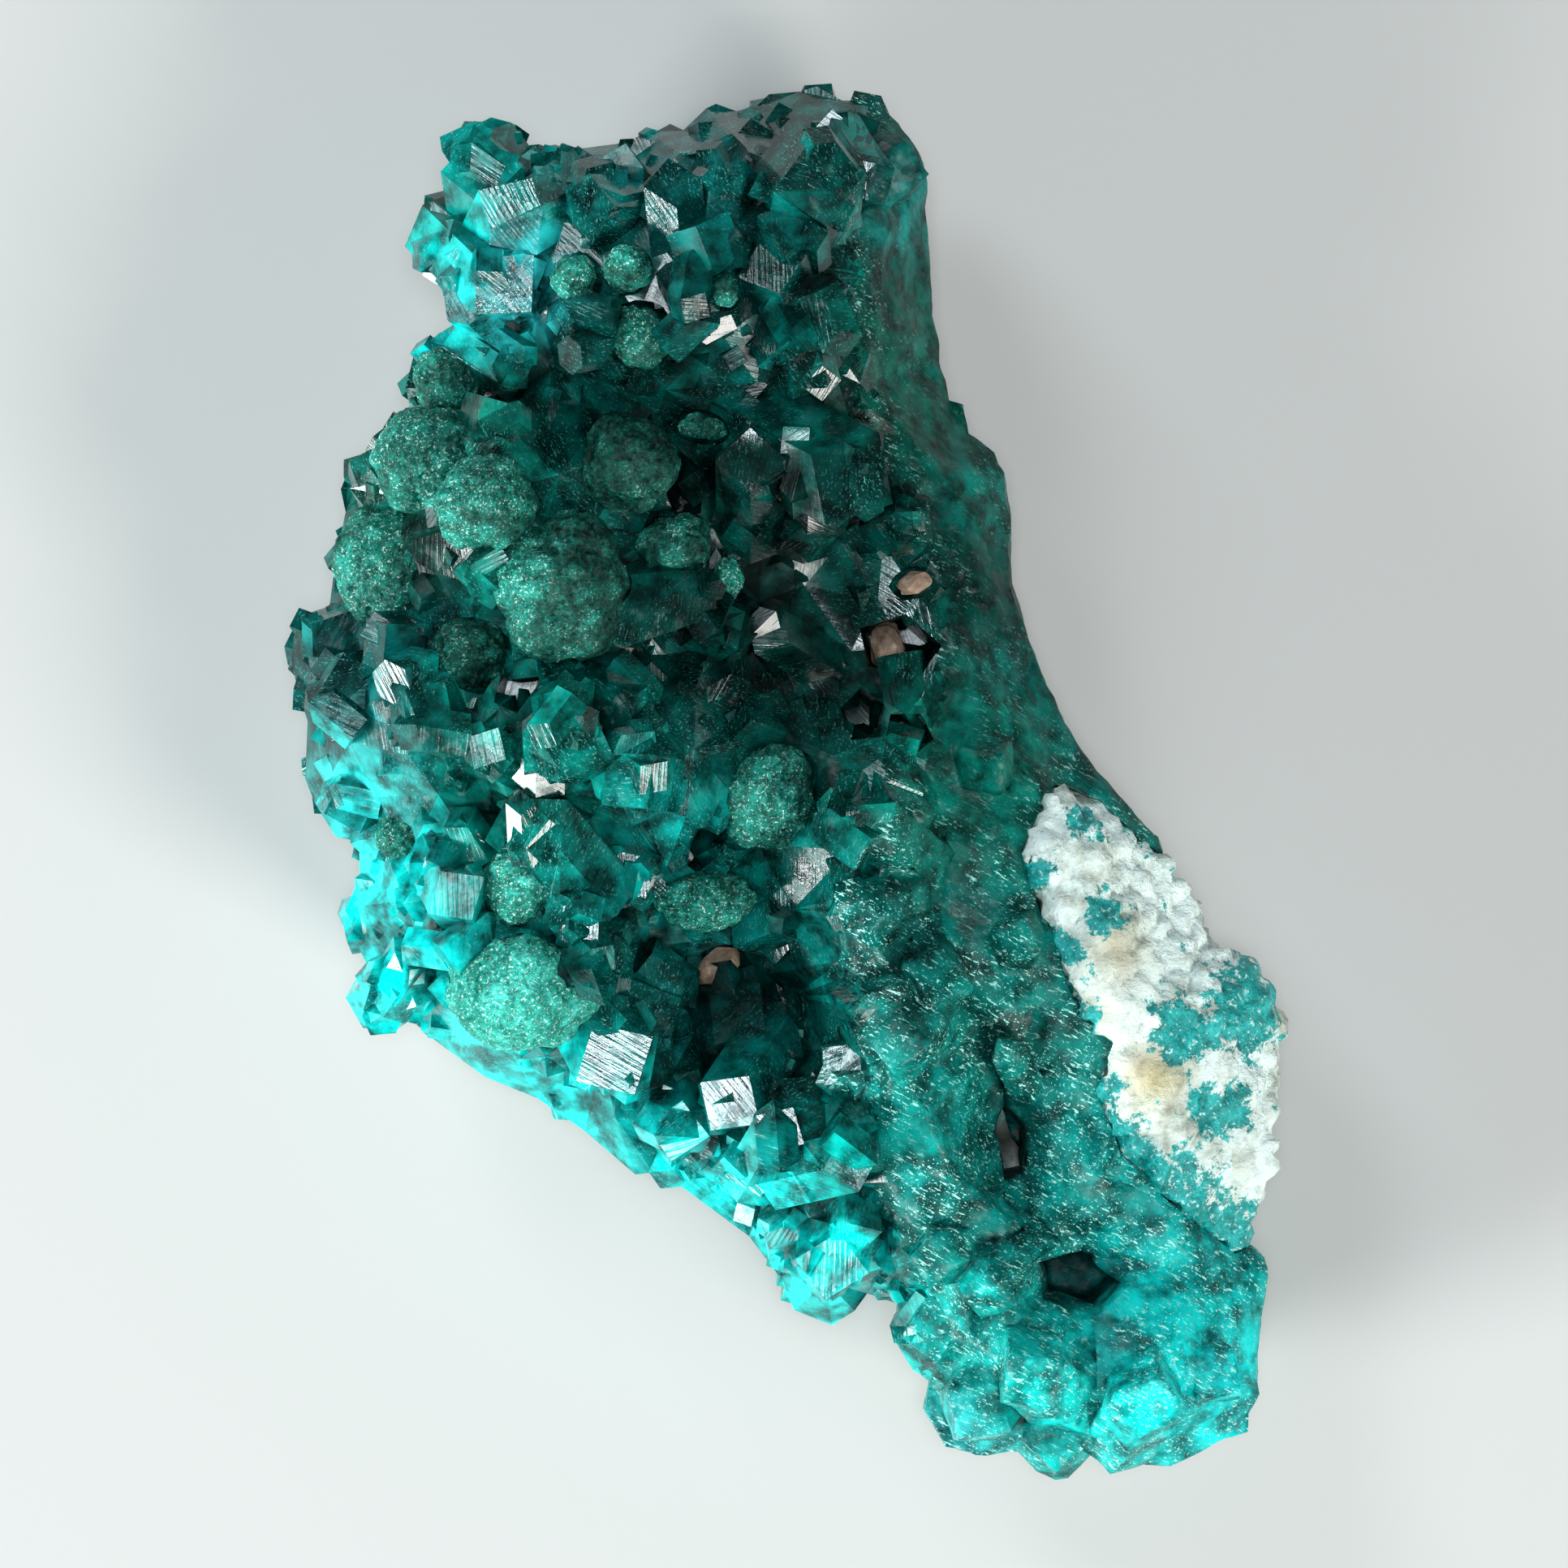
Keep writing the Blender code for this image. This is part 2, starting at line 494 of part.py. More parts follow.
def standing_crystal(name, x, y, width, proud, lean, heading, spin):
    """A crystal whose tip stands proud of the crust by the given height."""
    width *= CRYSTAL_SCALE
    length = CRYSTAL_LENGTH * width + 0.8
    axis = Vector((
        math.sin(math.radians(lean)) * math.cos(math.radians(heading)),
        math.sin(math.radians(lean)) * math.sin(math.radians(heading)),
        math.cos(math.radians(lean)),
    ))
    tip = Vector((x, y, crust_height(x, y) + proud + TIP_RISE)) + axis * 0.25 * width
    return crystal(name, tip - axis * length / 2, width, length, lean, heading, spin)


def clear_of(x, y, reach, things):
    return all(math.hypot(x - t[0], y - t[1]) > reach + 0.8 * t[2] for t in things)


def faces_up(lean, spin):
    """Whether one of the crystal's end faces lies nearly level."""
    tilt = math.radians(lean)
    rises = [
        math.cos(tilt) * math.cos(RHOMB_ANGLE)
        - math.sin(tilt) * math.sin(RHOMB_ANGLE) * math.cos(math.radians(bearing + spin))
        for bearing in RHOMB_BEARINGS
    ]
    return max(rises) > math.cos(math.radians(LEVEL_ENOUGH))


def background_crystals():
    """Smaller crystals that fill the crust between the named ones."""
    draw = random.Random(SEED + 1)
    taken = [(c[0], c[1], 0.55 * c[2]) for c in CRYSTALS.values()]
    taken += [(m[0], m[1], m[2]) for m in MALACHITE.values()]
    taken += [(p[0], p[1], p[3]) for p in PITS.values()]
    made = []
    for x, y in scattered_points(OUTLINE, 3.25, 1.2):
        width = draw.uniform(1.8, 3.0)
        lean, heading = draw.uniform(5, 55), draw.uniform(0, 360)
        spin = draw.uniform(0, 120)
        while faces_up(lean, spin):
            lean, spin = draw.uniform(5, 55), draw.uniform(0, 120)
        if not clear_of(x, y, 0.4 * width, taken):
            continue
        if edge_distance(x, y, MASSIVE) > 0 or edge_distance(x, y, FLANK_PATCH) > -PATCH_MARGIN:
            continue
        made.append(
            standing_crystal("crystal", x, y, width, 0.7, lean, heading, spin)
        )
    return made


def pit_cutter(x, y, half_x, half_y, turn, depth):
    """A five-sided wedge that opens upwards."""
    form = bmesh.new()
    tall = depth + 6.0
    bmesh.ops.create_cone(
        form, cap_ends=True, segments=5, radius1=0.72 * MM, radius2=1.25 * MM, depth=tall * MM
    )
    place = (
        Matrix.Translation(Vector((x, y, crust_height(x, y) - depth + tall / 2)) * MM)
        @ Matrix.Rotation(math.radians(turn), 4, "Z")
        @ Matrix.Diagonal((half_x, half_y, 1, 1))
    )
    bmesh.ops.transform(form, matrix=place, verts=form.verts)
    return object_from(form, "pit", "dioptase")


def lump(name, centre, radius, stretch, turn, skin, slot, extra):
    """A knobbly ball: a sphere whose skin swells over cells, like grapes grown together."""
    swell, knobs, detail = skin
    form = bmesh.new()
    bmesh.ops.create_icosphere(form, subdivisions=detail, radius=1.0)
    for vert in form.verts:
        direction = vert.co.normalized()
        seat = direction * knobs + Vector((centre[0], centre[1], 0.0))
        nearest = noise.voronoi(seat)[0][0]
        size = radius * (1 + swell * (0.5 - nearest)) + extra
        vert.co = direction * size
    place = (
        Matrix.Translation(Vector(centre) * MM)
        @ Matrix.Rotation(math.radians(turn), 4, "Z")
        @ Matrix.Diagonal((stretch * MM, MM / math.sqrt(stretch), FLATTENING * MM, 1))
    )
    bmesh.ops.transform(form, matrix=place, verts=form.verts)
    return object_from(form, name, slot)


def malachite_ball(name, extra=0.0):
    x, y, radius, lift, stretch, turn = MALACHITE[name]
    centre = (x, y, crust_height(x, y) + lift)
    detail = 3 if radius >= FINE_BALL else 2
    skin = (MALACHITE_SWELL, MALACHITE_KNOBS, detail)
    return lump(name, centre, radius, stretch, turn, skin, "malachite", extra)


def calcite_grain(name, extra=0.0):
    x, y, radius, sink, stretch, turn = CALCITE[name]
    centre = (x, y, crust_height(x, y) - sink)
    skin = (CALCITE_SWELL, CALCITE_KNOBS, 2)
    return lump(name, centre, radius, stretch, turn, skin, "calcite", extra)


def rock_height(x, y):
    """Upper surface of the pale rock under the crust."""
    under_crust = crust_height(x, y) - CRUST_THICKNESS
    return max(LOWEST_ROCK_TOP, under_crust)


def rock_slab(name, extra, bottom):
    """The rock under the crust: rough flaring sides, and flat where the specimen rests."""
    rims = []
    for height, flare in ROCK_SIDES:
        ring = grown(FOOTPRINT, flare + extra)
        sway = ROCK_SWAY if height else 0.0
        shifts = [sway * noise.noise(Vector((x / 3, y / 3, height))) for x, y in ring]
        level = height + extra if height else bottom
        rims.append([(x + d, y - d, level + d) for (x, y), d in zip(ring, shifts)])
    inner = scattered_points(FOOTPRINT, ROCK_SPACING, 0.5 * ROCK_SPACING)
    return layered_body(
        name,
        rims,
        (inner, lambda x, y: rock_height(x, y) + extra),
        ([], None),
        "matrix",
    )


def flank_prism(name, extra):
    form = bmesh.new()
    plan = grown(FLANK_PATCH, extra)
    floor = [form.verts.new(Vector((x, y, 1.6 - extra)) * MM) for x, y in plan]
    face = form.faces.new(floor)
    raised = bmesh.ops.extrude_face_region(form, geom=[face])
    tops = [v for v in raised["geom"] if isinstance(v, bmesh.types.BMVert)]
    bmesh.ops.translate(form, verts=tops, vec=(0, 0, 40 * MM))
    bmesh.ops.recalc_face_normals(form, faces=form.faces)
    return object_from(form, name, "matrix")


def build_matrix():
    flank = specimen_body("flank", FLANK_PROUD)
    apply_boolean(flank, flank_prism("flank_limit", 0.0), "INTERSECT")
    rock = rock_slab("matrix", 0.0, 0.0)
    apply_boolean(rock, flank, "UNION")
    tidy_surface(rock)
    return rock


def build_dioptase():
    crust = specimen_body("dioptase")
    crystals = [standing_crystal("crystal", *sizes) for sizes in CRYSTALS.values()]
    for grown_crystal in crystals + background_crystals():
        apply_boolean(crust, grown_crystal, "UNION", "MANIFOLD")
    cutters = [pit_cutter(*sizes) for sizes in PITS.values()]
    cutters += [rock_slab("slab_room", GAP, -5.0), flank_prism("flank_room", GAP)]
    cutters += [malachite_ball(name, GAP) for name in MALACHITE]
    cutters += [calcite_grain(name, GAP) for name in CALCITE]
    for cutter in cutters:
        apply_boolean(crust, cutter, "DIFFERENCE", "MANIFOLD")
    tidy_surface(crust)
    return crust


def build_lumps():
    for name in MALACHITE:
        malachite_ball(name).data.shade_smooth()
    for name in CALCITE:
        calcite_grain(name)


def main():
    clear_scene()
    build_matrix()
    build_dioptase()
    build_lumps()


main()
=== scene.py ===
import math
import random

import bmesh
import bpy
import numpy as np
from mathutils import Matrix, Vector, noise
from mathutils.bvhtree import BVHTree


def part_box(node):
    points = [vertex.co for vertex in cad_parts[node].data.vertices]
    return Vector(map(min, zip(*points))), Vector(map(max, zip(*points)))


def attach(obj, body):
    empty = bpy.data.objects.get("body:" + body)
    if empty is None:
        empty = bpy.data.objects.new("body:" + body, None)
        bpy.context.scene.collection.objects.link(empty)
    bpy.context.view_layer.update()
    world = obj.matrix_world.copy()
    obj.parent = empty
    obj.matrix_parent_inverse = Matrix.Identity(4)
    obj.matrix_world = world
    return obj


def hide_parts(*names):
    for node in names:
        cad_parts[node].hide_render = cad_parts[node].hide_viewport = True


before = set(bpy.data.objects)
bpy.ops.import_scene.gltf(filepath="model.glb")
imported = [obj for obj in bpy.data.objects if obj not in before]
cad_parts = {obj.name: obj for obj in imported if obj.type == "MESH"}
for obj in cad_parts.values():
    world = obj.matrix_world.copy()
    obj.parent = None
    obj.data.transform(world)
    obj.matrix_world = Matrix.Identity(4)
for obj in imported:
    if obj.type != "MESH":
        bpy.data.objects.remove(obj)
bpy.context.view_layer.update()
print("frame loaded,", len(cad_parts), "nodes")

mm = 0.001
noiseSeed = 5
noise.seed_set(noiseSeed)
malachiteNodes = sorted(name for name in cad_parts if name.startswith("malachite"))
calciteNodes = sorted(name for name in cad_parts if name.startswith("calcite"))


class Wire:
    # wraps one output socket, so that shader maths reads as ordinary sums

    def __init__(self, tree, socket=None):
        self.tree = tree
        self.socket = socket

    def node(self, kind, settings=None, sockets=None, output=0):
        made = self.tree.nodes.new(kind)
        for name, value in (settings or {}).items():
            if name == "stops":
                while len(made.color_ramp.elements) < len(value):
                    made.color_ramp.elements.new(0.5)
                for element, (place, colour) in zip(made.color_ramp.elements, value):
                    element.position = place
                    element.color = (*colour, 1.0)
            else:
                setattr(made, name, value)
        for name, value in (sockets or {}).items():
            if isinstance(value, Wire):
                self.tree.links.new(value.socket, made.inputs[name])
            elif value is not None:
                made.inputs[name].default_value = value
        return Wire(self.tree, made.outputs[output] if made.outputs else None)

    def maths(self, operation, *values):
        return self.node("ShaderNodeMath", {"operation": operation}, dict(enumerate(values)))

    def __add__(self, other):
        return self.maths("ADD", self, other)

    def __radd__(self, other):
        return self.maths("ADD", other, self)

    def __sub__(self, other):
        return self.maths("SUBTRACT", self, other)

    def __rsub__(self, other):
        return self.maths("SUBTRACT", other, self)

    def __mul__(self, other):
        return self.maths("MULTIPLY", self, other)

    def __rmul__(self, other):
        return self.maths("MULTIPLY", other, self)


def newMaterial(name):
    material = bpy.data.materials.new(name)
    material.use_nodes = True
    material.node_tree.nodes.clear()
    return material, Wire(material.node_tree)


def objectPlace(wire):
    return wire.node("ShaderNodeTexCoord", output=3)


def attribute(wire, name, output=0):
    # output 0 is its colour, 1 its vector, 2 its number and 3 its alpha
    return wire.node("ShaderNodeAttribute", {"attribute_name": name}, output=output)


def mixColour(wire, share, first, second, blend="MIX"):
    return wire.node(
        "ShaderNodeMix",
        {"data_type": "RGBA", "blend_type": blend, "clamp_factor": True},
        {0: share, 6: first, 7: second},
        output=2,
    )


def vectorMaths(wire, operation, *values):
    return wire.node(
        "ShaderNodeVectorMath", {"operation": operation}, dict(enumerate(values))
    )


def stretchedBy(wire, vector, length):
    # socket 3 is Vector Math's own scale
    return wire.node("ShaderNodeVectorMath", {"operation": "SCALE"}, {0: vector, 3: length})


def surfaceNormal(wire):
    return wire.node("ShaderNodeNewGeometry", output=1)


def ramp(wire, value, low, high):
    # 0 below low, 1 above high, smooth between
    return wire.node(
        "ShaderNodeMapRange",
        {"interpolation_type": "SMOOTHSTEP"},
        {"Value": value, "From Min": low, "From Max": high},
    )


def tones(wire, value, stops):
    return wire.node("ShaderNodeValToRGB", {"stops": stops}, {"Fac": value})


def scaled(wire, vector, factors, turn=0.0):
    # first turned about the upright axis, then scaled
    return wire.node(
        "ShaderNodeMapping", {"vector_type": "TEXTURE"},
        {"Vector": vector, "Scale": [1.0 / f for f in factors], "Rotation": (0.0, 0.0, turn)},
    )


def noiseAt(wire, vector, scale, detail=2.0, roughness=0.5):
    return wire.node(
        "ShaderNodeTexNoise", {},
        {"Vector": vector, "Scale": scale, "Detail": detail, "Roughness": roughness},
    )


def patches(wire, vector, noiseSettings, low, high):
    # noise cut to patches with soft edges
    return ramp(wire, noiseAt(wire, vector, *noiseSettings), low, high)


def glint(wire, vector, cells, amount, shift):
    # the surface's own normal, knocked about cell by cell, as on a skin of tiny crystals
    shifted = vectorMaths(wire, "ADD", vector, (shift, shift, shift))
    cell = wire.node(
        "ShaderNodeTexVoronoi", {}, {"Vector": shifted, "Scale": cells}, output=1
    )
    centred = vectorMaths(wire, "SUBTRACT", cell, (0.5, 0.5, 0.5))
    pushed = stretchedBy(wire, centred, amount)
    return vectorMaths(wire, "NORMALIZE", vectorMaths(wire, "ADD", surfaceNormal(wire), pushed))


def bump(wire, height, strength, distance, normal=None):
    return wire.node(
        "ShaderNodeBump", {},
        {"Height": height, "Strength": strength, "Distance": distance, "Normal": normal},
    )


def finishMaterial(wire, sockets, volume=None):
    surface = wire.node("ShaderNodeBsdfPrincipled", {}, sockets)
    wire.node("ShaderNodeOutputMaterial", {}, {"Surface": surface, "Volume": volume})


# noise in every finish: waves per metre, detail, roughness
dioptase = {
    "ior": 1.67,
    "absorption": (0.0, 0.94, 0.92, 1.0),
    "density": 2000.0,
    "cloud": (900.0, 3.0, 0.5),
    "veil": (2600.0, 3.0, 0.6),
    "paintedGlintPatch": (420.0, 2.0, 0.5),
    "glintDots": (9000.0, 2.0, 0.8),
    "glintStreaks": (8.5, 3.0, 0.7),   # on either glint streak scale below
    "frost": (1300.0, 2.0, 0.5),
    "grain": (7000.0, 3.0, 0.6),
    "grainBump": 0.10,
    "striationScale": (0.35, 7.0, 1.0),
    "facetGlintScale": (0.4, 1.3, 1.0),
    "massiveGlintScale": (230.0, 1000.0, 500.0),
    "skinScale": (0.45, 1.0, 1.0),
    "skinCells": 3600.0,
    "skinKnock": 0.55,
    "lie": -0.5,            # radians: the way the massive part's sparkles lie
    "turnAway": 0.34,       # how far facets in dark places turn from the light
    "darkest": 0.05,
}
crystalLook = {
    "transmission": 0.36,
    "specular": 0.15,
    "roughness": 0.07,
    "frosting": 0.20,
    "glints": 0.05,         # share of the knocked normal
    "striation": 0.16,      # bump of the fine lines
    "lining": 0.5,          # the same lines in the colour
    "along": 0.0,           # 0 the painted glint streaks follow the facets, 1 the massive part's lie
    "inner": 0.42,
    "facets": 1.15,
    "clouds": 1.9,
    "paintedGlints": 0.75,
    "paintedGlintColour": (0.24, 0.90, 0.82, 1.0),
}
massiveLook = {
    "transmission": 0.12,
    "specular": 0.06,
    "roughness": 0.33,
    "frosting": 0.10,
    "glints": 0.6,
    "striation": 0.0,
    "lining": 0.0,
    "along": 1.0,
    "inner": 0.62,
    "facets": 0.0,
    "clouds": 1.6,
    "paintedGlints": 2.2,
    "paintedGlintColour": (0.44, 1.0, 0.88, 1.0),
}


def crystalFlecks(wire, look, place, facetMap, paintedShadeOpenness):
    # painted glints: bright dots, and scratch-like streaks that follow a facet or the massive
    # part's lie, standing in for light caught by tiny facets; fewer in painted shade
    onFacet = scaled(wire, facetMap, dioptase["facetGlintScale"])
    onMassive = scaled(wire, place, dioptase["massiveGlintScale"], dioptase["lie"])
    glintStreakPlace = mixColour(wire, look["along"], onFacet, onMassive)
    glintStreaks = patches(wire, glintStreakPlace, dioptase["glintStreaks"], 0.59, 0.65)
    glintDots = patches(wire, place, dioptase["glintDots"], 0.62, 0.70)
    patchy = 0.15 + 0.85 * patches(wire, place, dioptase["paintedGlintPatch"], 0.38, 0.60)
    green = wire.node(
        "ShaderNodeSeparateColor", {}, {"Color": attribute(wire, "paint")}, output=1
    )
    bright = 0.3 + 0.7 * ramp(wire, green, 0.01, 0.12)  # few painted glints on the darkest tones
    shape = wire.maths("MAXIMUM", glintDots, glintStreaks)
    return look["paintedGlints"] * paintedShadeOpenness * patchy * shape * bright * attribute(wire, "paint", 3)


def crystalNormal(wire, look, place, lines):
    skin = scaled(wire, place, dioptase["skinScale"], dioptase["lie"])
    knocked = glint(wire, skin, dioptase["skinCells"], dioptase["skinKnock"], 0.3)
    leaning = stretchedBy(wire, attribute(wire, "away", 1), dioptase["turnAway"])
    turned = vectorMaths(wire, "ADD", leaning, surfaceNormal(wire))
    smooth = vectorMaths(wire, "NORMALIZE", turned)
    base = mixColour(wire, look["glints"], smooth, knocked)
    lined = bump(wire, lines, look["striation"], 0.1 * mm, base)
    grain = noiseAt(wire, place, *dioptase["grain"])
    return bump(wire, grain, dioptase["grainBump"], 0.05 * mm, lined)


def crystalMaterial(name, look):
    material, wire = newMaterial(name)
    place = objectPlace(wire)
    facetMap = wire.node("ShaderNodeUVMap", {"uv_map": "facet"})
    facet = attribute(wire, "facetShade", 2)
    # painted shade: the open attribute darkens the colour where the crust sees little sky
    paintedShadeOpenness = attribute(wire, "open", 2)
    # painted light: random light and dark inside the crystal, as internal reflections give
    cloud = patches(wire, place, dioptase["cloud"], 0.33, 0.70)
    veil = noiseAt(wire, place, *dioptase["veil"])
    lines = noiseAt(wire, scaled(wire, facetMap, dioptase["striationScale"]), 1.0)
    inner = (look["inner"] + look["facets"] * facet * facet) * (0.32 + look["clouds"] * cloud)
    streaked = inner + 0.9 * (veil - 0.42) + look["lining"] * (lines - 0.5)
    light = wire.maths("MAXIMUM", streaked * (0.25 + 0.85 * paintedShadeOpenness), dioptase["darkest"])
    tinted = stretchedBy(wire, attribute(wire, "paint"), light)
    # painted glints, mixed into the colour below
    paintedGlint = crystalFlecks(wire, look, place, facetMap, paintedShadeOpenness)
    colour = mixColour(wire, paintedGlint * 0.8, tinted, look["paintedGlintColour"])
    frost = patches(wire, place, dioptase["frost"], 0.52, 0.72)
    rough = look["roughness"] + 0.10 * facet + look["frosting"] * frost + 0.15 * (1.0 - paintedShadeOpenness)
    volume = wire.node(
        "ShaderNodeVolumeAbsorption", {},
        {"Color": dioptase["absorption"], "Density": dioptase["density"]},
    )
    finishMaterial(
        wire,
        {
            "Base Color": colour,
            "Roughness": rough,
            "Normal": crystalNormal(wire, look, place, lines),
            "IOR": dioptase["ior"],
            "Specular IOR Level": look["specular"],
            "Transmission Weight": look["transmission"],
        },
        volume,
    )
    return material


velvetFinish = {
    "patch": (420.0, 4.0, 0.6),
    "fibre": (8000.0, 3.0, 0.75),
    "grit": (3000.0, 3.0, 0.7),
    "paintedSparkles": (8500.0, 2.0, 0.85),
    "nap": 5200.0,          # cells per metre
    "napKnock": 0.9,
    "bump": 0.6,
    "specular": 0.22,
    "greens": [
        (0.18, (0.0, 0.012, 0.009)),
        (0.40, (0.0, 0.085, 0.060)),
        (0.62, (0.006, 0.28, 0.21)),
        (0.90, (0.08, 0.74, 0.62)),
    ],
    "paintedSparkleColour": (0.70, 1.0, 0.88, 1.0),
}


def velvetMaterial():
    material, wire = newMaterial("malachiteVelvet")
    place = objectPlace(wire)
    patch = noiseAt(wire, place, *velvetFinish["patch"])
    fibre = noiseAt(wire, place, *velvetFinish["fibre"])
    grit = noiseAt(wire, place, *velvetFinish["grit"])
    height = attribute(wire, "knob", 2)
    # the knob attribute brings painted light on domes and painted shade on each ball's right
    # into the green
    tone = 0.60 * patch + 0.40 * height + 0.60 * (fibre - 0.5) + 0.5 * (grit - 0.5) - 0.10
    green = tones(wire, tone, velvetFinish["greens"])
    cluster = ramp(wire, 0.7 * patch + 0.3 * height, 0.40, 0.62)
    # painted sparkle: bright specks, clustered on the lighter domes
    paintedSparkle = cluster * patches(wire, place, velvetFinish["paintedSparkles"], 0.58, 0.66)
    sparkledGreen = mixColour(wire, paintedSparkle * 0.85, green, velvetFinish["paintedSparkleColour"])
    knocked = glint(wire, place, velvetFinish["nap"], velvetFinish["napKnock"], 0.1)
    finishMaterial(
        wire,
        {
            "Base Color": sparkledGreen,
            "Roughness": 0.55 - 0.3 * paintedSparkle,
            "Normal": bump(wire, fibre + grit, velvetFinish["bump"], 0.1 * mm, knocked),
            "Specular IOR Level": velvetFinish["specular"],
        },
    )
    return material


rockFinish = {
    "blotch": (260.0, 4.0, 0.6),
    "chalk": (1500.0, 4.0, 0.65),
    "streaks": (900.0, 3.0, 0.5),
    "streakScale": (0.35, 1.0, 1.0),
    "streakTurn": -0.9,
    "mottle": (1300.0, 6.0, 0.8),
    "crumbs": (3600.0, 3.0, 0.7),
    "pits": (4200.0, 4.0, 0.7),
    "bump": 0.8,
    "pales": [
        (0.30, (0.22, 0.24, 0.20)),
        (0.42, (0.56, 0.64, 0.57)),
        (0.52, (0.80, 0.94, 0.90)),
        (0.75, (0.92, 1.0, 1.0)),
    ],
    "teals": [(0.3, (0.0, 0.14, 0.13)), (0.52, (0.0, 0.36, 0.34)), (0.7, (0.03, 0.62, 0.60))],
    "crumbColour": (0.62, 0.95, 0.92, 1.0),
}


def rockMaterial():
    material, wire = newMaterial("paleRock")
    place = objectPlace(wire)
    blotch = noiseAt(wire, place, *rockFinish["blotch"])
    chalk = noiseAt(wire, place, *rockFinish["chalk"])
    lying = scaled(wire, place, rockFinish["streakScale"], rockFinish["streakTurn"])
    streaks = noiseAt(wire, lying, *rockFinish["streaks"])
    mottle = noiseAt(wire, place, *rockFinish["mottle"])
    pits = noiseAt(wire, place, *rockFinish["pits"])
    pale = tones(wire, 0.45 * chalk + 0.55 * blotch, rockFinish["pales"])
    # real brown stains and weathering, and painted shade in one gap
    stainedAndShaded = mixColour(wire, 1.0, pale, attribute(wire, "stain"), "MULTIPLY")
    crumbs = patches(wire, place, rockFinish["crumbs"], 0.58, 0.64)
    teal = tones(wire, chalk, rockFinish["teals"])
    speckled = mixColour(wire, 0.75 * crumbs, teal, rockFinish["crumbColour"])
    film = attribute(wire, "green", 2) + 2.8 * (mottle - 0.5) + 1.2 * (streaks - 0.5)
    wet = ramp(wire, film, 0.38, 0.52)
    finishMaterial(
        wire,
        {
            "Base Color": mixColour(wire, wet, stainedAndShaded, speckled),
            "Roughness": 0.85 - 0.5 * wet,
            "Normal": bump(wire, chalk + 0.5 * pits, rockFinish["bump"], 0.3 * mm),
        },
    )
    return material


tanFinish = {
    "cloud": (1400.0, 4.0, 0.6),
    "grain": (6000.0, 3.0, 0.5),
    "bump": 0.5,
    "roughness": 0.7,
    "tans": [
        (0.30, (0.10, 0.055, 0.035)),
        (0.55, (0.33, 0.22, 0.15)),
        (0.75, (0.62, 0.50, 0.40)),
    ],
}


def tanMaterial():
    material, wire = newMaterial("tanCalcite")
    place = objectPlace(wire)
    cloud = noiseAt(wire, place, *tanFinish["cloud"])
    grain = noiseAt(wire, place, *tanFinish["grain"])
    finishMaterial(
        wire,
        {
            "Base Color": tones(wire, cloud, tanFinish["tans"]),
            "Roughness": tanFinish["roughness"],
            "Normal": bump(wire, grain, tanFinish["bump"], 0.1 * mm),
        },
    )
    return material


def floorMaterial():
    material, wire = newMaterial("paleFloor")
    finishMaterial(wire, {"Base Color": (*studio["floorColour"], 1.0), "Roughness": 0.9})
    return material


def deselectAll():
    for other in bpy.context.selected_objects:
        other.select_set(False)


def selectOnly(piece):
    deselectAll()
    bpy.context.view_layer.objects.active = piece
    piece.select_set(True)


def applyModifier(piece, modifier):
    selectOnly(piece)
    bpy.ops.object.modifier_apply(modifier=modifier.name)


def newPiece(name, mesh):
    piece = bpy.data.objects.new(name, mesh)
    bpy.context.scene.collection.objects.link(piece)
    return piece


def copyOfNode(node, name):
    # the solid's own mesh, with its loose triangles merged
    piece = newPiece(name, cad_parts[node].data.copy())
    form = bmesh.new()
    form.from_mesh(piece.data)
    bmesh.ops.remove_doubles(form, verts=form.verts, dist=0.000001)
    form.to_mesh(piece.data)
    form.free()
    for leftover in ("custom_normal", "UVMap"):
        if leftover in piece.data.attributes:
            piece.data.attributes.remove(piece.data.attributes[leftover])
    piece.data.materials.clear()
    return piece


def dress(piece, materials, node):
    for material in materials:
        piece.data.materials.append(material)
    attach(piece, "root")
    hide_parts(node)


def addCopy(form, pattern, stand):
    # adds the pattern's mesh to the form, at its place
    before = len(form.verts)
    form.from_mesh(pattern.data)
    form.verts.ensure_lookup_table()
    bmesh.ops.transform(form, matrix=stand, verts=form.verts[before:])


def meshOf(form, name):
    mesh = bpy.data.meshes.new(name)
    form.to_mesh(mesh)
    form.free()
    return mesh


crystalShape = {
    "sides": 6,
    "length": 1.5,          # times the width
    "rhombAngle": 51.0,     # between an end face and the basal plane
    "endBearings": (30, 150, 270),
}


def endFaces():
    # which way the three faces at the crystal's end look
    slope = math.radians(crystalShape["rhombAngle"])
    for bearing in crystalShape["endBearings"]:
        turn = math.radians(bearing)
        yield Vector((
            math.sin(slope) * math.cos(turn), math.sin(slope) * math.sin(turn), math.cos(slope)
        ))


def modelCrystal():
    # one crystal a unit wide, its tip at the origin and its body below
    deselectAll()
    length = crystalShape["length"]
    bpy.ops.mesh.primitive_cylinder_add(
        vertices=crystalShape["sides"], radius=0.5, depth=length,
        location=(0.0, 0.0, -length / 2),
    )
    crystal = bpy.context.active_object
    crystal.name = "crystalPattern"
    bpy.ops.object.mode_set(mode="EDIT")
    for facing in endFaces():
        bpy.ops.mesh.select_all(action="SELECT")
        bpy.ops.mesh.bisect(
            plane_co=(0.0, 0.0, 0.0), plane_no=facing, use_fill=True, clear_outer=True
        )
    bpy.ops.mesh.select_all(action="SELECT")
    bpy.ops.mesh.normals_make_consistent(inside=False)
    bpy.ops.object.mode_set(mode="OBJECT")
    bpy.ops.object.transform_apply(location=True, rotation=True, scale=True)
    return crystal


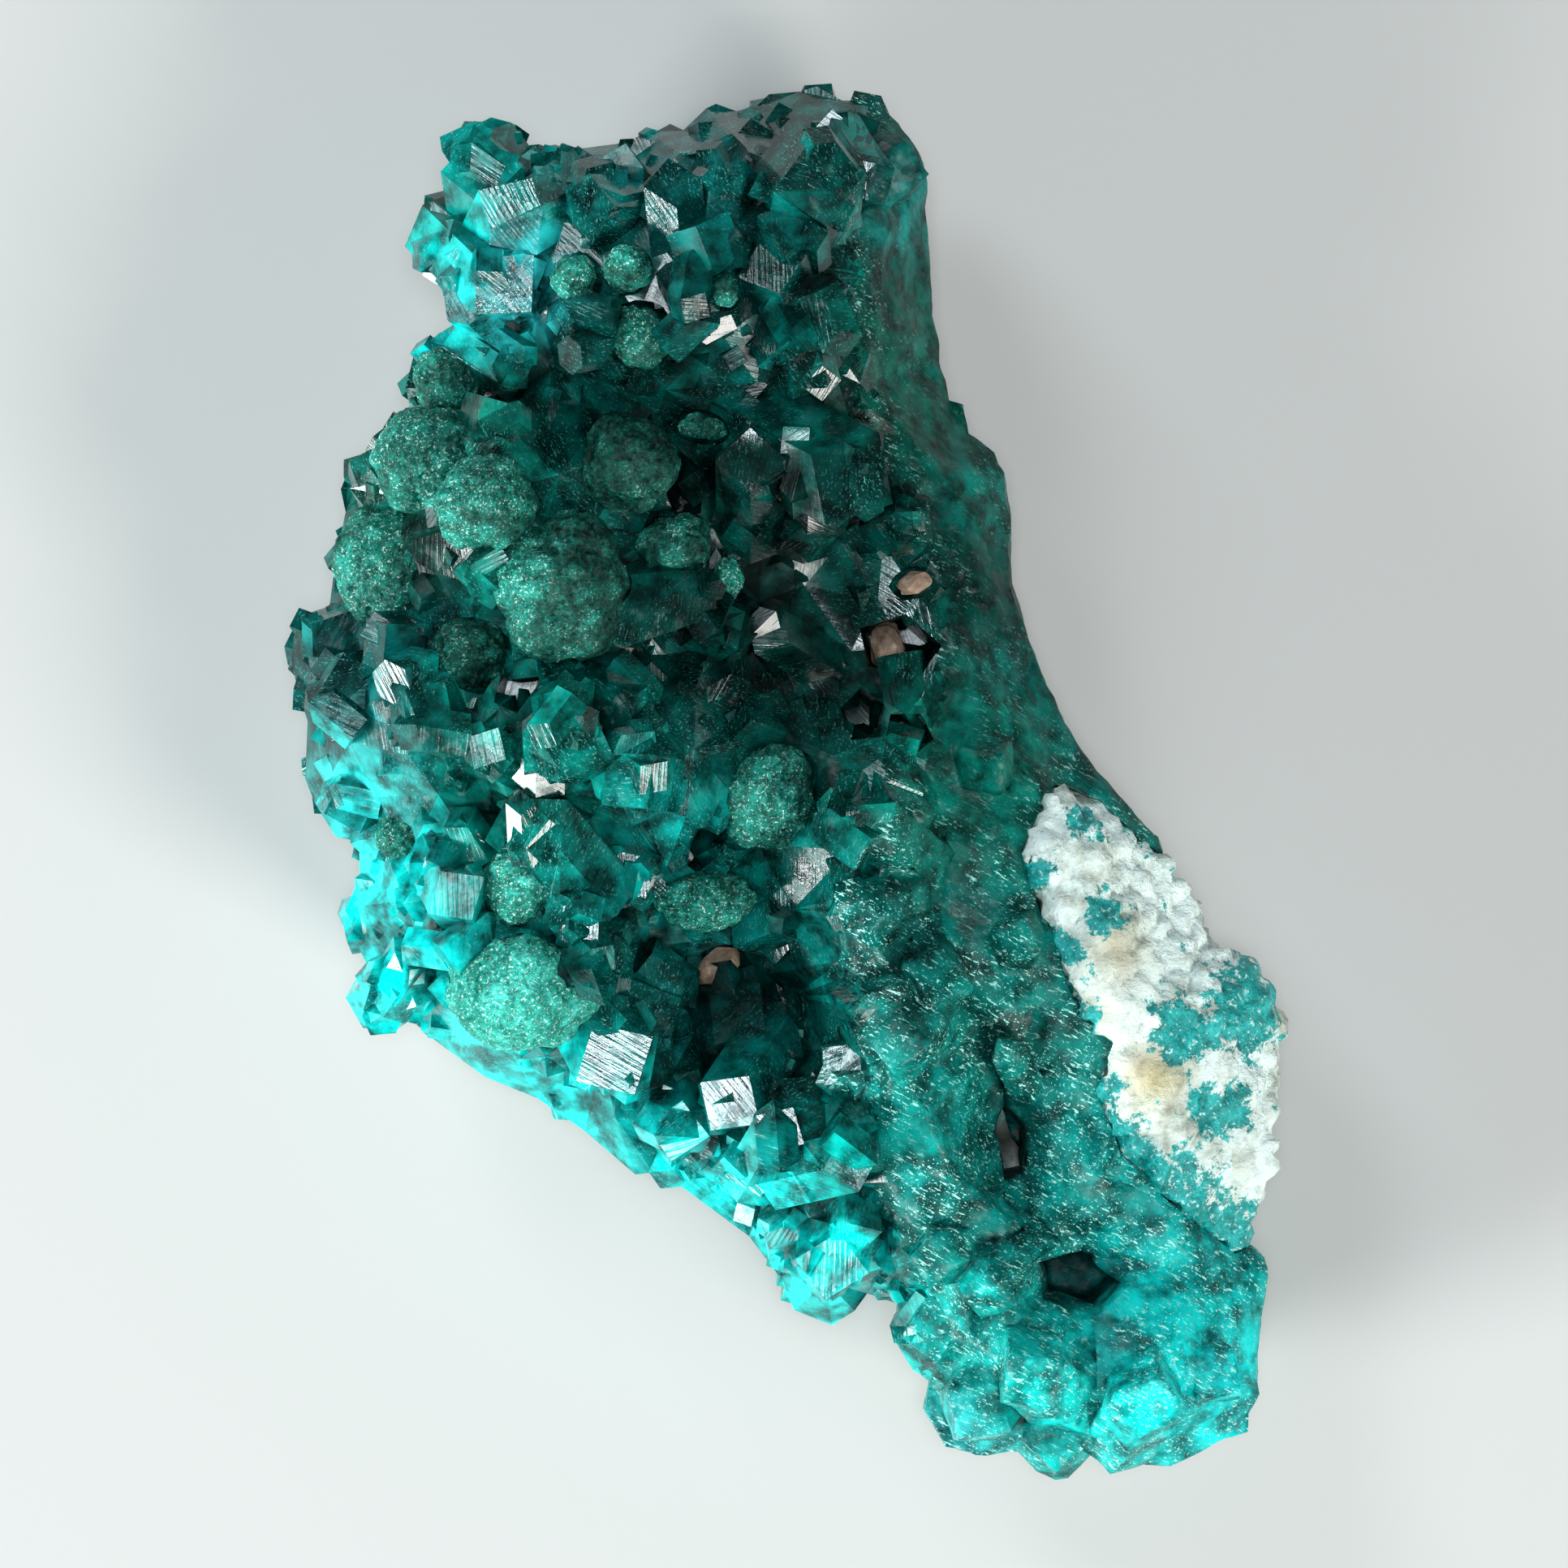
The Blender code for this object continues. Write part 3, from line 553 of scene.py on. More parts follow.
druse = {
    "seed": 11,
    # where the crust turns massive: y over x, in millimetres
    "massiveEdge": ((-28, -19.5, -14.5, -6, 0.8, 7.5, 14, 21, 28),
                    (6.0, 5.0, 3.6, 2.4, 5.0, 6.6, 3.6, 2.8, 3.6)),
    "edgeWidth": 2.0,
    "divisions": 4,
    "dividedFrom": 0.2,     # massiveness
    "massiveGrid": 0.55,
    "massiveRelief": 0.20,
    "reliefSize": 2.0,
    # how many, widths in millimetres, lean, rise in widths, least share hemmed in
    "crowds": {
        "companions": (1000, (0.7, 1.5), 0.9, 0.34, 0.4),
        "sides": (1100, (0.9, 2.0), 0.7, 0.25, 0.0),
        "crumbs": (1500, (0.4, 0.9), 1.1, 0.3, 0.5),
    },
    # heights in millimetres above which they grow
    "crown": 7.0,
    "gaps": 6.0,
    "foot": 1.2,
    "smoothFlank": 0.25,    # share of side crystals on the smooth lower left flank
    "underSide": 0.25,
    "spacing": 0.75,        # least distance, in mean widths
    "level": 8.0,           # degrees from level that no small end face comes within
    "levelFace": 0.994,     # faces of the crust more level than this stay bare
    "crevice": 2.4,         # millimetres within which a neighbour hems a place in
    "creviceLooks": 8,
    "creviceSlope": 0.75,
    "creviceLift": 0.05,
    "grainOrder": 2.6,      # how far neighbours share one direction
    "spinSway": 200.0,      # degrees
    "spinLoose": 9,
    "spinStep": 20.0,
    "ballMargin": 0.05,
    "seatCell": 2.0,        # millimetres, the grid that finds neighbours
    "roundCell": 3.0,
    "roundMargin": 0.02,
}


def massiveness(x, y):
    edge = np.interp(y, druse["massiveEdge"][0], druse["massiveEdge"][1])
    return float(np.clip((x - edge) / druse["edgeWidth"] + 0.5, 0.0, 1.0))


def roughenMassive(piece):
    # divides the massive part finely and gives it a soft, granular relief
    form = bmesh.new()
    form.from_mesh(piece.data)
    for _ in range(druse["divisions"]):
        long = []
        for edge in form.edges:
            middle = (edge.verts[0].co + edge.verts[1].co) / 2 / mm
            if edge.calc_length() > druse["massiveGrid"] * mm:
                if massiveness(middle.x, middle.y) > druse["dividedFrom"]:
                    long.append(edge)
        bmesh.ops.subdivide_edges(form, edges=long, cuts=1)
        bmesh.ops.triangulate(form, faces=[face for face in form.faces if len(face.verts) > 3])
    form.normal_update()
    moves = []
    for vert in form.verts:
        place = vert.co / mm
        share = massiveness(place.x, place.y)
        waves = noise.fractal(place / druse["reliefSize"], 1.0, 2.0, 3)
        relief = waves * druse["massiveRelief"]
        moves.append(vert.normal * share * relief * mm)
    for vert, move in zip(form.verts, moves):
        vert.co += move
    form.to_mesh(piece.data)
    form.free()
    print("massive part:", len(piece.data.polygons), "faces")


def noiseVector(place, reach):
    return noise.noise_vector(place / reach)


def surfaceSamples(piece, count, weightOf, draw):
    # places on the surface, more of them where weightOf is large
    triangles = []
    weights = []
    mesh = piece.data
    mesh.calc_loop_triangles()
    for triangle in mesh.loop_triangles:
        corners = [mesh.vertices[i].co / mm for i in triangle.vertices]
        middle = (corners[0] + corners[1] + corners[2]) / 3
        weight = triangle.area / mm / mm * weightOf(middle, triangle.normal)
        triangles.append((corners, triangle.normal.copy()))
        weights.append(weight)
    samples = []
    for corners, normal in draw.choices(triangles, weights=weights, k=count):
        a, b = draw.random(), draw.random()
        if a + b > 1:
            a, b = 1 - a, 1 - b
        place = corners[0] + (corners[1] - corners[0]) * a + (corners[2] - corners[0]) * b
        samples.append((place, normal))
    return samples


def cellsAround(place, size):
    # the cell of the grid that holds a place, and the 27 at and about it
    x, y, z = (int(v // size) for v in place)
    steps = (-1, 0, 1)
    return (x, y, z), [(x + a, y + b, z + c) for a in steps for b in steps for c in steps]


def thinned(seats):
    # drops a seat that stands too close to one already kept
    kept = []
    grid = {}
    for seat in seats:
        place, width = seat[0], seat[3]
        key, cells = cellsAround(place, druse["seatCell"])
        near = [other for cell in cells for other in grid.get(cell, [])]
        if all(
            (place - other[0]).length > druse["spacing"] * (width + other[3]) / 2
            for other in near
        ):
            kept.append(seat)
            grid.setdefault(key, []).append(seat)
    return kept


def insideBall(place, balls, margin):
    for centre, half in balls:
        offset = place - centre
        reach = sum((offset[i] / (half[i] + margin)) ** 2 for i in range(3))
        if reach < 1:
            return True
    return False


def standing(axis, spin):
    turn = axis.to_track_quat("Z", "Y").to_matrix()
    return turn @ Matrix.Rotation(math.radians(spin), 3, "Z")


def highestFace(axis, spin):
    # how nearly level the crystal's most level end face lies
    turn = standing(axis, spin)
    return max((turn @ facing).z for facing in endFaces())


def crystalSeats(base):
    draw = random.Random(druse["seed"])
    balls = []
    for name in malachiteNodes + calciteNodes:
        low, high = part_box(name)
        low, high = Vector(low) / mm, Vector(high) / mm
        balls.append(((low + high) / 2, (high - low) / 2))
    seats = []

    form = bmesh.new()
    form.from_mesh(base.data)
    tree = BVHTree.FromBMesh(form)
    form.free()
    step = 2.0 * math.pi / druse["creviceLooks"]
    looks = [
        Vector((math.cos(angle), math.sin(angle), druse["creviceSlope"])).normalized()
        for angle in (index * step for index in range(druse["creviceLooks"]))
    ]

    def hemmedIn(place, normal):
        # how much of the view outwards is blocked by neighbouring crystals
        start = (place + normal * druse["creviceLift"]) * mm
        hits = [tree.ray_cast(start, look, druse["crevice"] * mm)[0] for look in looks]
        return sum(hit is not None for hit in hits) / len(hits)

    def onTop(height):
        def weight(place, normal):
            bare = 1.0 - massiveness(place.x, place.y)
            return max(0.0, normal.z) * bare * (place.z > height)
        return weight

    def onSides(place, normal):
        bare = 1.0 - massiveness(place.x, place.y)
        smoothFlank = druse["smoothFlank"] if place.y < -9 and place.x < 6 else 1.0
        upright = (1.0 - abs(normal.z)) * (place.z > druse["foot"])
        return bare * smoothFlank * (upright + druse["underSide"] * (normal.z < -0.2))

    weights = {
        "companions": onTop(druse["crown"]),
        "sides": onSides,
        "crumbs": onTop(druse["gaps"]),
    }
    for crowd, (count, widths, lean, rise, enclosure) in druse["crowds"].items():
        for place, normal in surfaceSamples(base, count, weights[crowd], draw):
            if insideBall(place, balls, druse["ballMargin"]) or normal.z > druse["levelFace"]:
                continue
            if enclosure and hemmedIn(place, normal) < enclosure:
                continue
            width = draw.uniform(*widths)
            field = noiseVector(place, druse["grainOrder"])
            loose = Vector((draw.gauss(0, 1), draw.gauss(0, 1), draw.gauss(0, 1)))
            axis = (normal + lean * field + 0.25 * lean * loose).normalized()
            spin = druse["spinSway"] * noise.noise(place / druse["grainOrder"])
            spin += draw.gauss(0, druse["spinLoose"])
            while highestFace(axis, spin) > math.cos(math.radians(druse["level"])):
                spin += druse["spinStep"]
            seats.append((place, axis, spin, width, rise * width))
    seats.sort(key=lambda seat: -seat[3])
    return thinned(seats)


def growCrystals(base, pattern, seats):
    # unites the crystals with the crust in rounds, so that none in a round touch each other
    length = crystalShape["length"]
    rounds = []
    grids = []
    for place, axis, spin, width, rise in seats:
        tip = place + axis * rise
        middle = tip - axis * width * length / 2
        reach = width * math.hypot(length / 2, 0.5) + druse["roundMargin"]
        key, cells = cellsAround(middle, druse["roundCell"])
        for chosen, grid in enumerate(grids):
            near = [other for cell in cells for other in grid.get(cell, ())]
            if not any((middle - other).length < reach + far for other, far in near):
                break
        else:
            chosen = len(grids)
            grids.append({})
            rounds.append([])
        grids[chosen].setdefault(key, []).append((middle, reach))
        stand = (
            Matrix.Translation(tip * mm) @ standing(axis, spin).to_4x4()
            @ Matrix.Scale(width * mm, 4)
        )
        rounds[chosen].append(stand)
    for stands in rounds:
        form = bmesh.new()
        for stand in stands:
            addCopy(form, pattern, stand)
        crowd = newPiece("round", meshOf(form, "round"))
        unite = base.modifiers.new("unite", "BOOLEAN")
        unite.operation = "UNION"
        unite.solver = "MANIFOLD"
        unite.object = crowd
        applyModifier(base, unite)
        bpy.data.objects.remove(crowd)
    print("dioptase:", len(seats), "small crystals in", len(rounds), "rounds")


def facetsOf(form, flatness):
    # groups of neighbouring faces that lie in one plane
    group = {}
    groups = []
    form.faces.ensure_lookup_table()
    for first in form.faces:
        if first.index in group:
            continue
        members = [first]
        group[first.index] = len(groups)
        for face in members:
            for edge in face.edges:
                for other in edge.link_faces:
                    if other.index not in group and first.normal.dot(other.normal) > flatness:
                        group[other.index] = len(groups)
                        members.append(other)
        groups.append(members)
    return groups


shade = {
    "reach": 5.0,           # millimetres
    "rays": 10,
    "slopes": (1.3, 0.5),   # of the even rays and of the odd ones
    "lean": 0.8,            # how far the rays follow the surface
    "lift": 0.06,
    "farther": 0.6,         # how much less a neighbour hides at full reach
    "strength": 1.25,
    "smoothing": 5,
    "darkShare": 0.3,       # of the light, left in the dark places
    "turned": (0.9, 0.45),  # which way facets turn in the dark places
}


def clearOfDark(place):
    # 0 in the middle of a place of painted shade, 1 well away from all of them
    clear = 1.0
    for x, y, reach in crustPaint["dark"]:
        away = math.hypot(place.x - x, place.y - y) / reach
        clear *= 1.0 - math.exp(-(away ** 4))
    return clear


def opennessOf(piece):
    # how much of the sky each vertex of the crust sees past its neighbours, which darkens the
    # crust's colour as painted shade
    form = bmesh.new()
    form.from_mesh(piece.data)
    tree = BVHTree.FromBMesh(form)
    reach = shade["reach"] * mm
    shares = []
    turns = []
    for vert in form.verts:
        start = vert.co + vert.normal * shade["lift"] * mm
        hidden = 0.0
        for ray in range(shade["rays"]):
            angle = 2.0 * math.pi * (ray + 0.5 * (vert.index % 2)) / shade["rays"]
            look = Vector((math.cos(angle), math.sin(angle), shade["slopes"][ray % 2]))
            look += shade["lean"] * vert.normal
            distance = tree.ray_cast(start, look.normalized(), reach)[3]
            if distance is not None:
                hidden += 1.0 - shade["farther"] * distance / reach
        share = max(0.0, 1.0 - shade["strength"] * hidden / shade["rays"])
        clear = clearOfDark(vert.co / mm)
        shares.append(share * (shade["darkShare"] + (1.0 - shade["darkShare"]) * clear))
        turns.append([turn * (1.0 - clear) for turn in shade["turned"]] + [0.0])
    # smoothed over the massive part, where neighbours would differ by chance
    for _ in range(shade["smoothing"]):
        calm = []
        for vert in form.verts:
            others = [shares[edge.other_vert(vert).index] for edge in vert.link_edges]
            mean = sum(others) / len(others)
            part = massiveness(vert.co.x / mm, vert.co.y / mm)
            calm.append(shares[vert.index] * (1.0 - part) + mean * part)
        shares = calm
    form.free()
    # the open attribute carries painted shade into the crust's colour
    level = piece.data.attributes.new("open", "FLOAT", "POINT")
    level.data.foreach_set("value", shares)
    # in the dark places the facets are turned away from the light overhead
    away = piece.data.attributes.new("away", "FLOAT_VECTOR", "POINT")
    away.data.foreach_set("vector", np.array(turns, dtype=float).ravel())
    print("openness: mean", round(sum(shares) / len(shares), 3))


facetRule = {
    "flatness": 0.8,        # degrees, faces that differ by less make one facet
    "direction": 5.0,       # millimetres over which the lines on facets turn
    "start": (0.3, 0.1, 0.2),
    "massiveSway": 1.6,
    "swaySize": 1.7,
}


def facetSurface(piece):
    # gives each facet a shade, its own flat map and one of the two looks
    form = bmesh.new()
    form.from_mesh(piece.data)
    shadeLayer = form.faces.layers.float.new("facetShade")
    uvLayer = form.loops.layers.uv.new("facet")
    paintLayer = form.verts.layers.float_color.new("paint")
    facets = facetsOf(form, math.cos(math.radians(facetRule["flatness"])))
    for members in facets:
        widest = max(members, key=lambda face: face.calc_area())
        normal = widest.normal.copy()
        middle = widest.calc_center_median() / mm
        key = (round(normal.x, 1), round(normal.y, 1), round(normal.dot(middle), 1))
        tone = random.Random(str(key)).random()
        drift = noiseVector(middle, facetRule["direction"]) + Vector(facetRule["start"])
        along = normal.cross(drift)
        along.normalize()
        across = normal.cross(along)
        sway = facetRule["massiveSway"] * noise.noise(middle / facetRule["swaySize"])
        massive = massiveness(middle.x + sway, middle.y) > 0.5
        for face in members:
            face[shadeLayer] = tone
            face.material_index = 1 if massive else 0
            face.smooth = massive
            for loop in face.loops:
                place = loop.vert.co / mm
                loop[uvLayer].uv = (place.dot(along), place.dot(across))
    # each vertex's tone, with painted light and shade in it, and its share of painted glints
    for vert in form.verts:
        place = vert.co / mm
        vert[paintLayer] = (*crustColour(place), fleckShare(place))
    openEdges = sum(1 for edge in form.edges if len(edge.link_faces) != 2)
    print("dioptase:", len(form.faces), "triangles,", len(facets), "facets,", openEdges, "open")
    form.to_mesh(piece.data)
    form.free()


crustPaint = {
    "deep": (0.0, 0.12, 0.10),
    "deepShare": 0.15,
    "falloff": 2.2,
    "sway": 1.2,            # millimetres that the zones' edges wander
    "swaySize": 2.5,
    "calm": ((-7.0, -2.0, 2.0), (1.1, 0.5, 0.1)),  # y, and the share of painted glints there
    "calmSway": 1.5,
    "calmSwaySize": 3.0,
    # places in the gaps that stay dark by painted shade, their sky share cut and their facets
    # turned from the light: x, y, reach in millimetres
    "dark": [
        (8.9, -14.1, 1.7), (-8.9, -7.1, 1.2), (-1.8, -8.7, 1.9), (-14.4, 9.1, 2.3),
        (-3.2, 11.6, 1.6), (-0.6, 7.9, 2.5), (2.6, 4.2, 1.8), (1.1, 11.6, 1.8),
        (-5.5, 19.8, 0.9),
    ],
    # where each tone of the crust lies: x, y, reach in millimetres, then its colour; painted
    # light and shade are in these tones too, much lighter low down and on the lower left flank
    # where light shines through, mostly darker up in the head and in the middle
    "zones": [
        (-2.0, 19.5, 7.0, (0.0, 0.038, 0.034)),
        (-4.5, 23.5, 3.5, (0.0, 0.160, 0.150)),
        (-12.0, 24.0, 3.5, (0.0, 0.30, 0.26)),
        (-12.5, 19.5, 2.5, (0.0, 0.40, 0.38)),
        (-10.3, 19.2, 1.8, (0.04, 0.70, 0.74)),
        (8.8, 21.0, 1.8, (0.0, 0.32, 0.28)),
        (4.8, 22.0, 3.0, (0.0, 0.11, 0.09)),
        (5.5, 16.5, 4.5, (0.0, 0.070, 0.044)),
        (7.5, 8.0, 4.5, (0.0, 0.034, 0.026)),
        (9.2, 5.0, 1.8, (0.0, 0.13, 0.11)),
        (7.8, 11.5, 2.0, (0.0, 0.19, 0.15)),
        (6.4, 17.0, 1.9, (0.0, 0.21, 0.17)),
        (4.9, 23.0, 1.8, (0.0, 0.30, 0.27)),
        (-4.0, 12.0, 5.0, (0.0, 0.026, 0.020)),
        (-0.5, 5.0, 5.5, (0.0, 0.018, 0.014)),
        (-13.5, 11.5, 4.0, (0.004, 0.120, 0.085)),
        (-16.5, 4.5, 3.5, (0.0, 0.100, 0.095)),
        (-17.0, -0.5, 2.6, (0.02, 0.50, 0.48)),
        (-9.0, 1.5, 4.5, (0.0, 0.190, 0.150)),
        (-4.5, -1.5, 3.5, (0.0, 0.190, 0.170)),
        (-16.8, -5.5, 4.0, (0.0, 0.98, 0.94)),
        (-14.0, -10.0, 4.0, (0.0, 0.72, 0.68)),
        (-8.0, -13.8, 3.5, (0.0, 0.60, 0.57)),
        (-2.5, -17.3, 3.5, (0.0, 0.74, 0.70)),
        (1.5, -20.0, 3.0, (0.0, 0.84, 0.79)),
        (-2.5, -8.3, 4.2, (0.0, 0.085, 0.078)),
        (3.2, -6.5, 3.5, (0.0, 0.14, 0.12)),
        (4.3, -13.0, 3.2, (0.0, 0.30, 0.26)),
        (6.5, 0.0, 4.0, (0.0, 0.150, 0.11)),
        (9.0, -8.5, 4.5, (0.0, 0.20, 0.165)),
        (11.6, -14.5, 4.0, (0.0, 0.28, 0.25)),
        (15.5, -19.8, 4.0, (0.0, 0.47, 0.44)),
        (7.5, -21.8, 3.5, (0.0, 0.43, 0.38)),
        (12.3, -24.0, 4.0, (0.0, 0.62, 0.57)),
        (17.0, -24.0, 4.0, (0.0, 0.80, 0.78)),
        (7.0, -26.0, 2.2, (0.03, 0.50, 0.50)),
    ],
}


def crustColour(place):
    # the tones mixed here carry painted light and shade
    weight = crustPaint["deepShare"]
    total = Vector(crustPaint["deep"]) * weight
    sway = crustPaint["sway"] * noise.noise(place / crustPaint["swaySize"])
    for x, y, reach, colour in crustPaint["zones"]:
        away = math.hypot(place.x - x + sway, place.y - y + sway) / reach
        share = math.exp(-crustPaint["falloff"] * away * away)
        total += Vector(colour) * share
        weight += share
    return tuple(total / weight)


def fleckShare(place):
    # painted glints: the massive part is calm above and sparkles more and more below
    sway = crustPaint["calmSway"] * noise.noise(place / crustPaint["calmSwaySize"])
    calm = float(np.interp(place.y + sway, *crustPaint["calm"]))
    return 1.0 - massiveness(place.x, place.y) * (1.0 - calm)


def makeDioptase(*materials):
    crust = copyOfNode("dioptase", "dioptaseCrust")
    roughenMassive(crust)
    pattern = modelCrystal()
    growCrystals(crust, pattern, crystalSeats(crust))
    bpy.data.objects.remove(pattern)
    crust.data.materials.clear()  # the union adds an empty slot
    opennessOf(crust)
    facetSurface(crust)
    dress(crust, materials, "dioptase")


velvet = {
    "seed": 3,
    "voxel": 0.055,         # of the ball's least half width
    "leastVoxel": 0.075,    # millimetres
    "patternDivisions": 3,
    "lobes": 6,
    "lobeSize": (0.42, 0.74),
    "lobeTurn": 18,         # degrees either way
    "lobeRise": (-0.35, 0.75),
    "lobeReach": 0.74,
    "lobeInset": (1.06, 0.55),
    "knobSize": 1.3,        # millimetres between knob centres
    "knobHeight": 0.09,
    "knobEdge": 1.6,
    "knobSink": 0.6,        # the dome height that stays level with the ball
    "fuzz": 0.09,
    "fuzzWaves": 2.6,       # per millimetre
    "swelling": 0.98,
    "relief": 0.45,         # painted light: how much domes and high places lighten
    # how much fuller a ball is than its solid
    "spread": {
        "malachite_left_shoulder": 1.16, "malachite_left_crest": 1.22,
        "malachite_left_flank": 1.22, "malachite_speckled": 1.12,
    },
    # how much lighter a ball is than the others
    "tones": {
        "malachite_bright_ball": 0.52, "malachite_lower_ball": 0.26, "malachite_left_tuft": 0.2,
        "malachite_velvet_patch": 0.06, "malachite_tan_tuft": 0.10, "malachite_left_crest": 0.04,
        "malachite_left_flank": 0.04, "malachite_speckled": 0.04, "malachite_dark_ball": -0.30,
        "malachite_shadow_ball": -0.20, "malachite_round_cap": -0.12,
        "malachite_great_ball": -0.12,
    },
    # painted shade: how much darker a ball is on its right; a tenth where none is named
    "shaded": {"malachite_great_ball": 0.35, "malachite_bright_ball": 0.0},
}


def modelBall():
    # a ball a unit in radius, which every lobe is copied from
    deselectAll()
    bpy.ops.mesh.primitive_ico_sphere_add(subdivisions=velvet["patternDivisions"], radius=1.0)
    ball = bpy.context.active_object
    ball.name = "ballPattern"
    return ball


def lobesOf(centre, half, draw):
    # the ball itself, and smaller ones about it
    lobes = [(centre, half * velvet["swelling"])]
    for index in range(velvet["lobes"]):
        loose = draw.uniform(-velvet["lobeTurn"], velvet["lobeTurn"])
        angle = math.radians(360.0 * index / velvet["lobes"] + loose)
        rise = draw.uniform(*velvet["lobeRise"])
        flat = math.sqrt(1.0 - rise * rise)
        outward = Vector((math.cos(angle) * flat, math.sin(angle) * flat, rise))
        size = draw.uniform(*velvet["lobeSize"])
        reach = velvet["lobeReach"] * (velvet["lobeInset"][0] - velvet["lobeInset"][1] * size)
        seat = centre + Vector([outward[i] * half[i] * reach for i in range(3)])
        lobes.append((seat, half * size))
    return lobes


def knobBall(mesh, name, centre, half):
    # raises knobs and fuzz on the ball, and keeps how light each place is, with painted light on
    # domes and high places and painted shade on the ball's right
    paintedLightAndTone = []
    normals = [vert.normal.copy() for vert in mesh.vertices]
    for vert, normal in zip(mesh.vertices, normals):
        place = vert.co / mm
        near = noise.voronoi(place / velvet["knobSize"])[0]
        dome = min(1.0, (near[1] - near[0]) * velvet["knobEdge"])
        fuzz = noise.fractal(place * velvet["fuzzWaves"], 0.8, 2.0, 3)
        aside = (vert.co.x - centre.x) / half.x
        high = min(1.0, (vert.co - centre).length / min(half))
        # painted shade on the ball's right
        tone = velvet["tones"].get(name, 0.0) - velvet["shaded"].get(name, 0.1) * aside
        paintedLightAndTone.append(velvet["relief"] * (dome + high) + tone)
        shift = velvet["knobHeight"] * (dome - velvet["knobSink"]) + velvet["fuzz"] * fuzz
        vert.co += normal * shift * mm
    knobs = mesh.attributes.new("knob", "FLOAT", "POINT")
    knobs.data.foreach_set("value", paintedLightAndTone)
    mesh.shade_smooth()


def makeMalachite(material):
    draw = random.Random(velvet["seed"])
    pattern = modelBall()
    for name in malachiteNodes:
        low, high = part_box(name)
        centre = Vector([(a + b) / 2 for a, b in zip(low, high)])
        half = Vector([(b - a) / 2 for a, b in zip(low, high)])
        half *= velvet["spread"].get(name, 1.0)
        form = bmesh.new()
        for seat, size in lobesOf(centre, half, draw):
            addCopy(form, pattern, Matrix.Translation(seat) @ Matrix.Diagonal((*size, 1.0)))
        ball = newPiece(name.replace("_", "."), meshOf(form, name))
        remesh = ball.modifiers.new("remesh", "REMESH")
        remesh.mode = "VOXEL"
        remesh.voxel_size = max(velvet["leastVoxel"] * mm, velvet["voxel"] * min(half))
        applyModifier(ball, remesh)
        knobBall(ball.data, name, centre, half)
        dress(ball, [material], name)
        print(name, len(ball.data.polygons), "faces")
    bpy.data.objects.remove(pattern)


rock = {
    # millimetres: the remesh, and how far the relief moves
    "voxel": 0.26,
    "swell": 0.05,
    "lumps": 0.40,
    "pits": 0.16,
    "crags": 0.62,
    "lumpSize": 2.2,
    "pitWaves": 1.9,        # per millimetre
    "cragSize": 1.1,
    "cragTop": 0.6,
    "foot": (0.15, 0.8),    # the height where the relief begins, and how soon it is full
    "level": 0.3,           # what lies lower is made level with the floor
    "stainAndShadeEdge": 1.5,
    "weatherSize": 3.5,
    "weatherWaves": 1.4,
    "weatherShare": 0.35,
    "weatherFade": 0.09,    # a millimetre of height
    "weathering": (0.66, 0.52, 0.38),
    "stainsAndShade": [
        # x, y, reach, colour
        (14.4, -11.4, 1.7, (0.66, 0.50, 0.30)),
        (13.0, -6.6, 1.5, (0.72, 0.60, 0.46)),
        (12.0, -9.0, 1.2, (0.72, 0.62, 0.50)),
        # painted shade: this near black mark lies in the gap at the crust's first place of
        # painted shade
        (8.9, -14.1, 1.8, (0.06, 0.05, 0.04)),
    ],
    "greens": [
        # x, y, reach
        (18.0, -9.0, 1.9), (15.6, -9.8, 1.5), (17.0, -12.8, 1.3), (15.2, -16.6, 2.2),
        (17.2, -17.8, 1.8), (12.4, -5.3, 0.9), (14.6, -1.6, 1.2), (11.6, -1.6, 0.8),
        (12.8, -13.6, 1.2), (10.8, -8.2, 0.9), (10.0, -3.4, 0.7), (10.9, -6.4, 0.8),
        (11.7, -8.9, 0.8), (12.7, -11.9, 0.8), (14.0, -14.8, 1.0), (16.0, -17.2, 1.4),
    ],
}


def reliefOf(place):
    # millimetres that the rock's surface moves out
    lump = noise.fractal(place / rock["lumpSize"], 0.6, 2.0, 4)
    pit = noise.noise(place * rock["pitWaves"])
    chips = noise.voronoi(place / rock["cragSize"])[0]
    crag = min(rock["cragTop"], chips[1] - chips[0])
    return rock["swell"] + rock["lumps"] * lump + rock["pits"] * pit + rock["crags"] * crag


def stainOf(place):
    colour = Vector((1.0, 1.0, 1.0))
    for x, y, reach, tone in rock["stainsAndShade"]:
        away = math.hypot(place.x - x, place.y - y) / reach
        colour = colour.lerp(Vector(tone), math.exp(-rock["stainAndShadeEdge"] * away * away))
    waves = noise.fractal(place / rock["weatherSize"], 0.8, 2.0, 4)
    weathered = rock["weatherWaves"] * waves + rock["weatherShare"]
    weathered -= rock["weatherFade"] * place.z
    return colour.lerp(Vector(rock["weathering"]), min(1.0, max(0.0, weathered)))


def greenOf(place):
    # how near the rock's green film a place lies, 1 at the middle of a patch
    green = 0.0
    for x, y, reach in rock["greens"]:
        away = math.hypot(place.x - x, place.y - y) / reach
        green = max(green, math.exp(-away * away))
    return green


